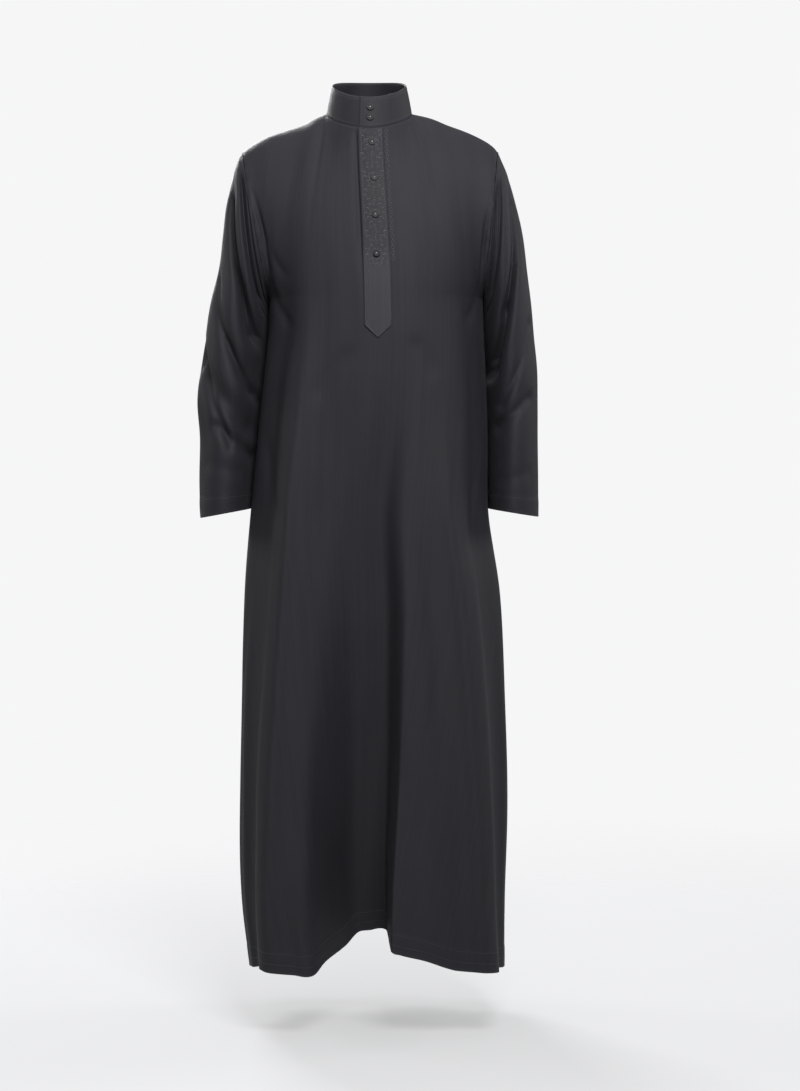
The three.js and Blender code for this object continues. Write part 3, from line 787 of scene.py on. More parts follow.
def compute(
    tree: bpy.types.NodeTree, operation: str, *inputs: float | bpy.types.NodeSocket
) -> bpy.types.NodeSocket:
    """Add a math node that is fed by numbers and sockets in their order, and give its output."""
    values = {slot: given for slot, given in enumerate(inputs) if isinstance(given, float)}
    links = {slot: given for slot, given in enumerate(inputs) if slot not in values}
    return add_node(tree, "ShaderNodeMath", values, links, operation=operation).outputs[0]


def mix_colours(
    tree: bpy.types.NodeTree, share: bpy.types.NodeSocket, low: str | bpy.types.NodeSocket, high: str
) -> bpy.types.NodeSocket:
    """Mix from a colour, in hex or from a socket, to one in hex, and give the output."""
    values, links = {7: linear(high)}, {0: share}
    if isinstance(low, str):
        values[6] = linear(low)
    else:
        links[6] = low
    return add_node(tree, "ShaderNodeMix", values, links, data_type="RGBA").outputs[2]


def map_range(
    tree: bpy.types.NodeTree, value: bpy.types.NodeSocket, values: dict[int, float], **settings: object
) -> bpy.types.NodeSocket:
    """Map a value from one range (inputs 1 and 2) to another (3 and 4), and give the output."""
    return add_node(tree, "ShaderNodeMapRange", values, {0: value}, **settings).outputs[0]


def new_material(name: str) -> tuple[bpy.types.Material, bpy.types.Node]:
    """Make an empty material and give it with its principled shader."""
    material = bpy.data.materials.new(name)
    material.use_nodes = True
    material.node_tree.nodes.clear()
    shader = add_node(material.node_tree, "ShaderNodeBsdfPrincipled")
    add_node(material.node_tree, "ShaderNodeOutputMaterial", links={"Surface": shader.outputs["BSDF"]})
    return material, shader


@dataclass(frozen=True)
class WovenSuiting:
    """Polyester and viscose suiting, woven in a fine twill, dyed in the piece and pressed.

    It gives the eye a smooth, almost black charcoal with a dull sheen where it turns away, faint lines
    along the warp, and lighter, slightly rubbed edges.

    Attributes:
        name: Name of the material.
        dark: Colour of the deepest threads.
        light: Colour of the lightest threads.
        worn: Colour of rubbed edges.
        rib_mm: Spacing of the twill's ribs. Real ones are 0.35 mm apart, drawn coarser so that they show.
        painted_shade_above: Height, in m, above which the cloth is darkened: painted shade, as the placket's
            upper part catches less light than its lower part.
        rough: Middle roughness.
        sheen: Weight of the sheen.
        sheen_tint: Colour of the sheen.
        painted_shade_colour: Colour of the painted shade.
        glint: Strength of the highlight.
    """

    name: str
    dark: str = "1e1e22"
    light: str = "303036"
    worn: str = "44444c"
    rib_mm: float = 0.9
    painted_shade_above: float | None = None
    rough: float = 0.62
    sheen: float = 0.07
    sheen_tint: str = "9a9aa6"
    painted_shade_colour: str = "131316"
    glint: float = 0.26

    def material(self) -> bpy.types.Material:
        """Build the material."""
        made, shader = new_material(self.name)
        tree = made.node_tree
        cloth = add_node(tree, "ShaderNodeUVMap", uv_map="cloth_mm").outputs["UV"]
        axes = add_node(tree, "ShaderNodeSeparateXYZ", links={0: cloth})
        across, up = axes.outputs["X"], axes.outputs["Y"]
        ribs = self.wave(tree, compute(tree, "ADD", across, up), self.rib_mm)
        picks = self.wave(tree, up, self.rib_mm * 0.7)
        weave = compute(tree, "MULTIPLY_ADD", ribs, picks, 0.25)
        warp = self.noise(tree, cloth, (1 / 5.0, 1 / 320.0), detail=2.0)
        cloud = self.noise(tree, cloth, (1 / 70.0, 1 / 110.0), detail=3.0)
        lint = self.noise(tree, cloth, (1 / 1.4, 1 / 1.4), detail=1.0)
        tone = compute(tree, "MULTIPLY_ADD", warp, 0.55, 0.1)
        tone = compute(tree, "MULTIPLY_ADD", cloud, 0.4, tone)
        tone = compute(tree, "MULTIPLY_ADD", weave, 0.12, tone)
        threads = mix_colours(tree, tone, self.dark, self.light)
        edge = add_node(tree, "ShaderNodeAttribute", attribute_name="edge").outputs["Fac"]
        rubbed = compute(tree, "MULTIPLY", compute(tree, "MULTIPLY", edge, 0.5), lint)
        colour = mix_colours(tree, rubbed, threads, self.worn)
        # Painted shade: the cloth is darkened above a height on the placket.
        if self.painted_shade_above is not None:
            colour = self.paint_shade_above(tree, colour)
        rough = map_range(tree, cloud, {3: self.rough - 0.08, 4: self.rough + 0.08})
        relief = compute(tree, "MULTIPLY_ADD", warp, 0.35, weave)
        bump = add_node(
            tree, "ShaderNodeBump", {"Strength": 0.35, "Distance": 0.00012}, {"Height": relief}).outputs[0]
        tree.links.new(colour, shader.inputs["Base Color"])
        tree.links.new(rough, shader.inputs["Roughness"])
        tree.links.new(bump, shader.inputs["Normal"])
        shader.inputs["Sheen Weight"].default_value = self.sheen
        shader.inputs["Sheen Roughness"].default_value = 0.45
        shader.inputs["Sheen Tint"].default_value = linear(self.sheen_tint)
        shader.inputs["Specular IOR Level"].default_value = self.glint
        return made

    def paint_shade_above(self, tree: bpy.types.NodeTree, colour: bpy.types.NodeSocket) -> bpy.types.NodeSocket:
        """Paint shade on the cloth above a height: darker where the placket catches less light."""
        place = add_node(tree, "ShaderNodeTexCoord").outputs["Object"]
        height = add_node(tree, "ShaderNodeSeparateXYZ", links={0: place}).outputs["Z"]
        heights = {1: self.painted_shade_above - 0.06, 2: self.painted_shade_above, 3: 0.0, 4: 0.5}
        share = map_range(tree, height, heights, interpolation_type="SMOOTHSTEP")
        return mix_colours(tree, share, colour, self.painted_shade_colour)

    @staticmethod
    def wave(tree: bpy.types.NodeTree, along: bpy.types.NodeSocket, spacing: float) -> bpy.types.NodeSocket:
        """Make ribs at a spacing in mm."""
        return compute(tree, "SINE", compute(tree, "MULTIPLY", along, 2 * math.pi / spacing))

    @staticmethod
    def noise(
        tree: bpy.types.NodeTree, place: bpy.types.NodeSocket, scale: tuple[float, float], detail: float
    ) -> bpy.types.NodeSocket:
        """Make noise whose grain is given across and up, in cycles for each mm."""
        scaled = add_node(
            tree, "ShaderNodeVectorMath", {1: (*scale, 1.0)}, {0: place}, operation="MULTIPLY").outputs[0]
        return add_node(
            tree, "ShaderNodeTexNoise", {"Scale": 1.0, "Detail": detail}, {"Vector": scaled}).outputs["Fac"]


@dataclass(frozen=True)
class SpunThread:
    """Polyester sewing and embroidery thread, twisted from fine filaments.

    It gives the eye small, soft highlights along each stitch, a touch brighter than the cloth.

    Attributes:
        name: Name of the material.
        colour: Colour of the thread where it is deepest.
        light: Colour of its lightest filaments.
        rough: Roughness.
        twist_mm: Spacing of the twist. Real twist is 0.5 mm apart.
    """

    name: str
    colour: str = "2e2e33"
    light: str = "46464d"
    rough: float = 0.4
    twist_mm: float = 0.5

    def material(self) -> bpy.types.Material:
        """Build the material."""
        made, shader = new_material(self.name)
        tree = made.node_tree
        place = add_node(tree, "ShaderNodeTexCoord").outputs["Object"]
        noise = {"Scale": 1000.0 / self.twist_mm, "Detail": 1.0}
        grain = add_node(tree, "ShaderNodeTexNoise", noise, {"Vector": place}).outputs["Fac"]
        tone = mix_colours(tree, grain, self.colour, self.light)
        bump = add_node(tree, "ShaderNodeBump", {"Strength": 0.4, "Distance": 0.00005}, {"Height": grain})
        tree.links.new(tone, shader.inputs["Base Color"])
        tree.links.new(bump.outputs[0], shader.inputs["Normal"])
        shader.inputs["Roughness"].default_value = self.rough
        shader.inputs["Sheen Weight"].default_value = 0.2
        return made


@dataclass(frozen=True)
class CastResin:
    """Polyester resin button, cast in a rod, sliced, turned and tumbled to a polish.

    It gives the eye a smoky, almost black body with faint clouds and a satin highlight, dulled by wear.

    Attributes:
        name: Name of the material.
        dark: Colour of the body.
        cloud: Colour of the clouds.
        rough: Roughness.
    """

    name: str
    dark: str = "111114"
    cloud: str = "2a2a2e"
    rough: float = 0.4

    def material(self) -> bpy.types.Material:
        """Build the material."""
        made, shader = new_material(self.name)
        tree = made.node_tree
        place = add_node(tree, "ShaderNodeTexCoord").outputs["Object"]
        noise = {"Scale": 260.0, "Detail": 3.0, "Distortion": 2.5}
        swirl = add_node(tree, "ShaderNodeTexNoise", noise, {"Vector": place}).outputs["Fac"]
        colour = mix_colours(tree, map_range(tree, swirl, {1: 0.5, 2: 0.8}), self.dark, self.cloud)
        rough = map_range(tree, swirl, {3: self.rough, 4: self.rough + 0.14})
        tree.links.new(colour, shader.inputs["Base Color"])
        tree.links.new(rough, shader.inputs["Roughness"])
        shader.inputs["IOR"].default_value = 1.54
        shader.inputs["Specular IOR Level"].default_value = 0.32
        return made


# Pieces


@dataclass
class Piece:
    """A piece that has been built, with what it stands for.

    Attributes:
        made: Its object.
        slot: The material slot of the record. Not used.
        material: Its material.
        nodes: The solids that it takes the place of.
    """

    made: bpy.types.Object
    slot: Slot
    material: bpy.types.Material
    nodes: tuple[str, ...] = ()

    def settle(self) -> bpy.types.Object:
        """Dress the piece and tie it to the frame."""
        self.made.data.materials.append(self.material)
        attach(self.made, "root")
        if self.nodes:
            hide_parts(*self.nodes)
        LOG.info("%s: %d faces", self.made.name, len(self.made.data.polygons))
        return self.made


@dataclass
class Panel:
    """A body panel with its creases, side seams, armholes and stitched hem.

    Attributes:
        half: Front or back.
        creases: Fine creases on the flat map of the panel: across is side x map_scale, up is z.
        columns: Shares across the panel where the grid has a column.
        unevenness: The slow waves of the cloth.
        hem_deep: Depth of the turned hem.
        map_scale: Millimetres across for a share of 1.
    """

    half: Half
    creases: tuple[Crease, ...]
    columns: np.ndarray
    unevenness: tuple[Unevenness, ...]
    hem_deep: float = 34.0
    map_scale: float = 290.0

    @staticmethod
    def step() -> float:
        """Give the height of one row of the skirt, in mm."""
        return (CUT.underarm - CUT.hem) / CUT.skirt_rows

    def hold(self, points: np.ndarray) -> np.ndarray:
        """Keep points on the panel's own side of the seams."""
        return CUT.hold(self.half, points)

    def rows(self) -> np.ndarray:
        """Give the rows of the grid, closer together at the hem and over the shoulder."""
        hem = np.array([0, 0.6, 1.6, 3, 5, 8, 11, 14, 17, 20, 24, 28, 31, 32.5, 34, 35.5, 37, 40, 44])
        hem = hem / self.step()
        skirt, chest = np.linspace(0.8, CUT.skirt_rows, 150), np.linspace(CUT.skirt_rows, self.top(), 84)
        return joined(hem, skirt, chest)

    @staticmethod
    def top() -> float:
        """Give the row of the upper edge."""
        return float(CUT.skirt_rows + CUT.chest_rows)

    def relief(self, side: np.ndarray, row: np.ndarray, z: np.ndarray) -> np.ndarray:
        """Work out how far the fine form stands out of the large one.

        Args:
            side: Share across the panel.
            row: Row of the panel.
            z: Height.

        Returns:
            The push out of the cloth, in mm.
        """
        across = side * self.map_scale
        inside = smooth((1 - np.abs(side)) / 0.09) * smooth((self.top() - row) / 1.2)
        push = sum(crease.push(across, z) for crease in self.creases)
        push = push + sum(wave.push(across, z) for wave in self.unevenness)
        hem = turned_edge(row * self.step(), self.hem_deep, 0.55)
        to_seam = (1 - np.abs(side)) * 200
        seam = -0.45 * np.exp(-((to_seam / 2.2) ** 2)) - 0.5 * np.exp(-(((self.top() - row) * 12) ** 2))
        gathers = np.clip(row - CUT.skirt_rows, 0, 1) * np.exp(-to_seam / 14)
        seam = seam + 0.45 * gathers * np.sin(z / 5.2 + 1.4 * np.sin(z / 17))
        return push * inside + hem + seam

    def surface(self, side: np.ndarray, row: np.ndarray) -> np.ndarray:
        """Place points of the outer side, fine form and all."""
        base = CUT.panel(self.half, side, row)
        nudge_side, nudge_row = 2e-3, 2e-2
        high_side, low_side = np.minimum(side + nudge_side, 1), np.maximum(side - nudge_side, -1)
        high_row, low_row = np.minimum(row + nudge_row, self.top()), np.maximum(row - nudge_row, 0)
        across = CUT.panel(self.half, high_side, row) - CUT.panel(self.half, low_side, row)
        rise = CUT.panel(self.half, side, high_row) - CUT.panel(self.half, side, low_row)
        out = unit(np.cross(across, rise)) * -self.half.value
        return self.hold(base + out * self.relief(side, row, base[..., 2])[..., None])

    def grid(self) -> Grid:
        """Lay the grid of the whole panel, each row running so that it faces out."""
        row, side = np.meshgrid(self.rows(), self.columns, indexing="ij")
        placed = self.surface(side, row)
        return placed if self.half is Half.FRONT else placed[:, ::-1]

    def line(self, side: np.ndarray, row: np.ndarray) -> tuple[np.ndarray, np.ndarray]:
        """Place a line of points on the panel, with the outward direction at each."""
        nudge_side, nudge_row = 1e-3, 1e-2
        high_side, low_side = np.minimum(side + nudge_side, 1), np.maximum(side - nudge_side, -1)
        high_row, low_row = np.minimum(row + nudge_row, self.top()), np.maximum(row - nudge_row, 0)
        across = self.surface(high_side, row) - self.surface(low_side, row)
        rise = self.surface(side, high_row) - self.surface(side, low_row)
        return self.surface(side, row), unit(np.cross(across, rise)) * -self.half.value


FRONT_CREASES = (
    Crease((-23, 90), (-23, -300), -3.4, 4.8),
    Crease((-116, -300), (-144, -1560), 5.4, 10, bow=-5, skew=-0.8),
    Crease((116, -400), (154, -1560), 5.4, 10, bow=6, skew=0.8),
    Crease((-150, -420), (-178, -1560), -4.6, 17, bow=-4, skew=0.5),
    Crease((152, -470), (190, -1560), -4.6, 17, bow=5, skew=-0.5),
    Crease((14, -400), (8, -1180), -5.5, 30, bow=6, skew=-0.5),
    Crease((42, -430), (40, -1150), 2.4, 15, bow=5, skew=-0.6),
    Crease((-292, -95), (-244, -225), -3.4, 7, bow=3, skew=0.6),
    Crease((-284, -110), (-240, -272), -3.0, 7, bow=3, skew=0.6),
    Crease((290, -105), (256, -250), -3.2, 7, bow=-3, skew=-0.6),
    Crease((276, -150), (238, -286), -2.6, 7, bow=-3, skew=-0.6),
    Crease((-30, -365), (-95, -470), -2.4, 13, bow=6, skew=0.4),
    Crease((52, -352), (98, -430), -2.2, 12, bow=-5, skew=-0.4),
    Crease((-240, -255), (-140, -345), -3.2, 11, bow=8, skew=0.6),
    Crease((-232, -215), (-158, -262), -2.0, 9, bow=6, skew=0.5),
    Crease((240, -255), (150, -335), -3.0, 11, bow=-8, skew=-0.6),
    Crease((-210, -480), (-112, -660), -2.4, 16, bow=10, skew=0.5),
    Crease((196, -540), (116, -720), -2.2, 16, bow=-8, skew=-0.5),
    Crease((-70, -540), (-58, -900), -3.2, 18, bow=5, skew=0.5),
    Crease((70, -640), (84, -1000), -2.6, 14, bow=-4, skew=-0.4),
    Crease((-205, -700), (-222, -1560), 3.6, 12, bow=4, skew=-0.6),
    Crease((224, -760), (240, -1560), 3.4, 12, bow=-4, skew=0.6),
    Crease((-82, -860), (-90, -1560), 3.4, 13, bow=4, skew=-0.5),
    Crease((96, -900), (104, -1560), 3.2, 13, bow=-4, skew=0.5),
)
BACK_CREASES = (
    Crease((-176, -96), (-30, -168), -3.4, 15, bow=9, skew=0.5),
    Crease((168, -104), (28, -182), -3.2, 15, bow=-9, skew=-0.5),
    Crease((-240, -225), (-96, -372), -4.2, 12, bow=10, skew=0.7),
    Crease((-232, -262), (-138, -330), -2.4, 9, bow=6, skew=0.6),
    Crease((236, -232), (112, -356), -3.8, 12, bow=-10, skew=-0.7),
    Crease((-40, -230), (30, -520), -2.6, 20, bow=-8, skew=0.4),
    Crease((-168, -520), (-196, -1560), -5.2, 15, bow=6, skew=0.7),
    Crease((-134, -560), (-158, -1560), 4.4, 12, bow=6, skew=-0.6),
    Crease((-52, -440), (-62, -1560), -4.6, 16, bow=-5, skew=0.6),
    Crease((24, -600), (34, -1560), 4.0, 13, bow=-4, skew=0.6),
    Crease((92, -480), (108, -1560), -4.8, 16, bow=5, skew=-0.6),
    Crease((150, -620), (170, -1560), 4.2, 13, bow=-5, skew=0.6),
    Crease((212, -700), (226, -1560), -4.4, 14, bow=4, skew=-0.6),
    Crease((-232, -760), (-244, -1560), 3.2, 12, bow=-4, skew=0.5),
    Crease((238, -380), (196, -560), -2.6, 12, bow=-8, skew=-0.6),
)


@dataclass(frozen=True)
class SleeveFold:
    """A trough across a sleeve, from one place to another.

    Attributes:
        along0: Share from armhole to cuff where it starts.
        turn0: Degrees round the sleeve where it starts: 0 outer edge, 90 front, 180 inner edge, 270 back.
        along1: Share where it ends.
        turn1: Degrees where it ends.
        depth: Depth in mm.
        width: Half its width, about in degrees.
        skew: How much one flank rises while the other falls.
    """

    along0: float
    turn0: float
    along1: float
    turn1: float
    depth: float
    width: float
    skew: float = 0.0

    def dip(self, along: np.ndarray, turn: np.ndarray, length: float) -> np.ndarray:
        """Work out how far the cloth falls in."""
        run = np.array([(self.along1 - self.along0) * length, self.turn1 - self.turn0])
        off = np.stack([(along - self.along0) * length, turn - self.turn0], axis=-1)
        share = np.clip((off @ run) / (run @ run), 0, 1)
        gap = off - share[..., None] * run
        signed = (gap[..., 0] * run[1] - gap[..., 1] * run[0]) / np.hypot(*run) / self.width
        away = np.linalg.norm(gap, axis=-1) / self.width
        return self.depth * np.exp(-away * away) * (1 + self.skew * signed)


@dataclass
class Sleeve:
    """A set-in sleeve with its folds, a puckered armhole seam and a stitched cuff.

    Attributes:
        arm: Right or left.
        rails: Outer and inner edge and the reach in front and behind, past the armhole.
        folds: The large folds, as in the solid.
        creases: Finer folds.
        unevenness: The slow waves of the cloth.
        length: About the length in mm, to weigh lengths along it against degrees round it.
        cuff_deep: Depth of the turned cuff.
        turns: Columns of the grid round the sleeve.
        stations: Rows of the grid between the armhole and the cuff.
    """

    arm: Arm
    rails: tuple[tuple[float, ...], ...]
    folds: tuple[SleeveFold, ...]
    creases: tuple[SleeveFold, ...]
    unevenness: Unevenness
    length: float = 600.0
    cuff_deep: float = 26.0
    turns: int = 116
    stations: int = 190

    def rail(self) -> Table:
        """Give the rails from the armhole to the cuff as one table."""
        sign = float(self.arm.value)
        tip_x, tip_z = CUT.tip(np.float64(sign))
        under = float(CUT.underarm_reach(np.float64(sign)))
        reach = (-CUT.armhole_front, CUT.armhole_back, 0.0)
        armhole = (abs(float(tip_x)), float(tip_z), under, CUT.underarm, *reach)
        rows = (armhole, *self.rails)
        keyed = tuple((i / len(self.rails), *row) for i, row in enumerate(rows))
        return Table(("along", "out_x", "out_z", "in_x", "in_z", "front", "back", "lean"), keyed)

    def surface(self, along: np.ndarray, degrees: np.ndarray) -> np.ndarray:
        """Place points of the outer side.

        Args:
            along: Share from the armhole to the cuff.
            degrees: Degrees round the sleeve, from 0 to 360 and on.

        Returns:
            The points.
        """
        rail, sign = self.rail(), float(self.arm.value)
        out_x, out_z, in_x, in_z, front, back, lean = (rail.read(name, along) for name in rail.columns[1:])
        middle_x, middle_z = (out_x + in_x) / 2, (out_z + in_z) / 2
        half_x, half_z = (out_x - in_x) / 2, (out_z - in_z) / 2
        turn = np.mod(degrees, 360.0)
        cos, sin = np.cos(np.radians(turn)), np.sin(np.radians(turn))
        dip = sum(fold.dip(along, turn, self.length) for fold in self.folds + self.creases)
        dip = dip - self.unevenness.push(turn * 1.9, along * self.length)
        dip = dip * smooth(along / 0.06) * smooth((1 - along) / 0.03 + 0.25)
        from_cuff = (1 - along) * self.length
        cuff = turned_edge(from_cuff, self.cuff_deep, 0.5)
        from_seam = along * self.length
        ripple = np.sin(np.radians(turn) * 26 + 1.3 * np.sin(np.radians(turn) * 5))
        pucker = np.exp(-from_seam / 13) * 0.5 * ripple
        seam = -0.45 * np.exp(-((from_seam / 2.2) ** 2)) + pucker * smooth(from_seam / 3)
        underarm_seam = -0.8 * np.exp(-(((np.mod(turn - 15, 360) - 180) / 1.6) ** 2))
        grow = CUT.cloth * (0.25 + 0.75 * smooth(from_seam / 30)) + cuff + seam + underarm_seam - dip
        depth = np.where(sin > 0, -front, back) + grow
        reach = cos * (1 + grow / np.hypot(half_x, half_z))
        x = middle_x + half_x * reach
        z = middle_z + half_z * reach
        y = lean * np.maximum(0, -cos) ** 2 - depth * sin
        return self.hold(np.stack([sign * x, y, z], axis=-1))

    def hold(self, points: np.ndarray) -> np.ndarray:
        """Keep points on the sleeve's side of the armhole."""
        sign = float(self.arm.value)
        reach = CUT.armhole_reach(np.full(points.shape[:-1], sign), points[..., 2]) + CUT.seam
        held = points.copy()
        held[..., 0] = sign * np.maximum(sign * points[..., 0], reach)
        return held

    def grid(self) -> Grid:
        """Lay the grid of the sleeve from the underarm seam round, cuff first."""
        cuff = np.array([0, 0.6, 1.6, 3, 6, 9, 12, 15, 18, 20.5, 22, 23.5, 25, 26.5, 28, 30])
        cuff = 1 - cuff / self.length
        seam = np.array([0, 1, 2, 3.2, 5, 7]) / self.length
        along = joined(np.linspace(seam[-1], cuff.min(), self.stations), cuff, seam)[::-1]
        degrees = 195 + np.linspace(0, 360, self.turns + 1)
        station, turn = np.meshgrid(along, degrees, indexing="ij")
        placed = self.surface(station, turn)
        return placed if self.arm is Arm.RIGHT else placed[:, ::-1]

    def line(self, along: np.ndarray, degrees: np.ndarray) -> tuple[np.ndarray, np.ndarray]:
        """Place a line of points on the sleeve, with the outward direction at each."""
        nudge, nudge_turn = 1e-3, 0.4
        around = self.surface(along, degrees + nudge_turn) - self.surface(along, degrees - nudge_turn)
        high, low = np.minimum(along + nudge, 1), np.maximum(along - nudge, 0)
        down = self.surface(high, degrees) - self.surface(low, degrees)
        return self.surface(along, degrees), unit(np.cross(down, around)) * -self.arm.value


RIGHT_SLEEVE = (
    (207.5, -71, 159.6, -294, -73, 80, 13), (215.7, -97, 159.5, -299, -74, 79, 19),
    (226.2, -140, 159.5, -309, -75, 77, 25), (232.2, -192, 160, -324, -75, 74, 29),
    (238, -240, 161.6, -344, -73, 71, 31), (252.2, -302, 163.5, -369, -71, 68, 34),
    (259.2, -352, 166.2, -397, -69, 64, 36), (267.4, -402, 169.4, -430, -68, 60, 36),
    (272.5, -454, 173.8, -468, -68, 54, 34), (268.1, -512, 180.2, -520, -68, 44, 28),
    (268.7, -577, 185.9, -575, -67, 33, 18), (268, -638, 190.6, -624, -66, 22, 9))
LEFT_SLEEVE = (
    (209.6, -71, 180.6, -294, -73, 80, 13), (220.2, -97, 180.9, -299, -74, 79, 19),
    (232.7, -140, 181.2, -309, -75, 77, 25), (244.1, -192, 181.8, -324, -75, 74, 29),
    (250.7, -247, 182.4, -344, -73, 71, 31), (257.1, -302, 183.2, -369, -71, 68, 34),
    (261.1, -352, 184.3, -397, -69, 64, 36), (266.1, -402, 185.7, -430, -68, 60, 36),
    (267.2, -454, 187.2, -468, -68, 54, 34), (267.5, -512, 189.4, -520, -68, 44, 28),
    (268.3, -577, 190.4, -575, -67, 33, 18), (268.3, -636, 192.2, -624, -66, 22, 9))
RIGHT_FOLDS = (
    SleeveFold(0.05, 45, 0.3, 125, 9, 17), SleeveFold(0.2, 28, 0.5, 122, 13, 18),
    SleeveFold(0.52, 50, 0.64, 105, 3, 22), SleeveFold(0.64, 15, 0.8, 130, 9, 17),
    SleeveFold(0.12, 318, 0.4, 236, 8, 20), SleeveFold(0.42, 300, 0.6, 222, 5, 20),
    SleeveFold(0.66, 330, 0.76, 228, 5, 20))
LEFT_FOLDS = (
    SleeveFold(0.05, 62, 0.25, 125, 8, 17), SleeveFold(0.22, 24, 0.62, 142, 14, 18),
    SleeveFold(0.74, 62, 0.8, 108, 3, 22), SleeveFold(0.1, 322, 0.36, 240, 8, 20),
    SleeveFold(0.4, 306, 0.62, 226, 6, 20), SleeveFold(0.68, 326, 0.78, 232, 4, 20))
RIGHT_CREASES = (
    SleeveFold(0.03, 66, 0.24, 146, 5.4, 7, 0.6), SleeveFold(0.09, 46, 0.34, 140, 6.4, 9, 0.7),
    SleeveFold(0.2, 30, 0.52, 132, 8.6, 12, 0.7), SleeveFold(0.34, 70, 0.48, 136, 4.0, 8, 0.6),
    SleeveFold(0.44, 26, 0.7, 136, 7.6, 11, 0.6), SleeveFold(0.56, 74, 0.72, 150, 3.8, 8, 0.5),
    SleeveFold(0.6, 8, 0.84, 100, 6.0, 9, 0.7), SleeveFold(0.8, 70, 0.86, 152, 6.2, 10, 0.7),
    SleeveFold(0.88, 50, 0.9, 120, 1.4, 9, 0.4), SleeveFold(0.05, 300, 0.26, 222, 3.6, 8, 0.6),
    SleeveFold(0.3, 286, 0.48, 225, 3.6, 9, 0.6), SleeveFold(0.5, 300, 0.62, 236, 3.2, 9, 0.6),
    SleeveFold(0.68, 310, 0.8, 236, 3.0, 9, -0.5), SleeveFold(0.86, 300, 0.9, 236, 1.5, 9, 0.4))
LEFT_CREASES = (
    SleeveFold(0.03, 68, 0.22, 140, 5.2, 7, 0.6), SleeveFold(0.1, 52, 0.33, 142, 6.2, 9, 0.7),
    SleeveFold(0.2, 22, 0.44, 96, 8.8, 12, 0.7), SleeveFold(0.44, 96, 0.62, 136, 7.4, 12, 0.7),
    SleeveFold(0.36, 60, 0.58, 140, 4.4, 9, 0.6), SleeveFold(0.54, 34, 0.74, 118, 5.2, 10, 0.5),
    SleeveFold(0.74, 50, 0.8, 126, 4.6, 9, -0.5), SleeveFold(0.9, 60, 0.92, 118, 1.4, 9, 0.4),
    SleeveFold(0.06, 302, 0.26, 226, 3.4, 8, 0.6), SleeveFold(0.28, 292, 0.46, 230, 3.6, 9, 0.6),
    SleeveFold(0.54, 300, 0.68, 238, 3.4, 9, -0.5), SleeveFold(0.8, 306, 0.86, 240, 2.2, 9, 0.4))


@dataclass
class Collar:
    """The stand collar: one stiffened band once round the neck and on beneath its own outer end.

    Attributes:
        start: Degrees from the centre of the front to its outer end.
        overlap: Degrees that the inner end runs on beneath the outer end.
        crown: How far the band stands out between its edges.
    """

    start: float = -13.0
    overlap: float = 30.0
    crown: float = 0.5

    def surface(self, degrees: np.ndarray, up: np.ndarray) -> np.ndarray:
        """Place points of the band's outer side, up from 0 at the seam to 1 at the top edge."""
        turn = np.radians(degrees)
        tuck = (CUT.stiffened + 0.5) * smooth((degrees - self.start - 320) / 40)
        low = NECK_SEAM.place(turn) + np.array([0, 0, CUT.seam])
        point = low + (COLLAR_TOP.place(turn) - low) * up[..., None]
        out = np.stack([np.sin(turn), -np.cos(turn), np.zeros_like(turn)], axis=-1)
        bulge = self.crown * 4 * up * (1 - up) + 0.25 * np.sin(turn * 7 + 0.6) * (1 - up)
        return point + out * (bulge - tuck)[..., None]

    def grid(self) -> Grid:
        """Lay the grid of the band."""
        degrees = np.linspace(self.start, self.start + 360 + self.overlap, 200)
        up, degrees = np.meshgrid(np.linspace(0, 1, 16), degrees, indexing="ij")
        return self.surface(degrees, up)

    def line(self, degrees: np.ndarray, up: np.ndarray) -> tuple[np.ndarray, np.ndarray]:
        """Place a line of points on the band, with the outward direction at each."""
        across = self.surface(degrees + 0.3, up) - self.surface(degrees - 0.3, up)
        rise = self.surface(degrees, up + 0.01) - self.surface(degrees, up - 0.01)
        return self.surface(degrees, up), unit(np.cross(across, rise))


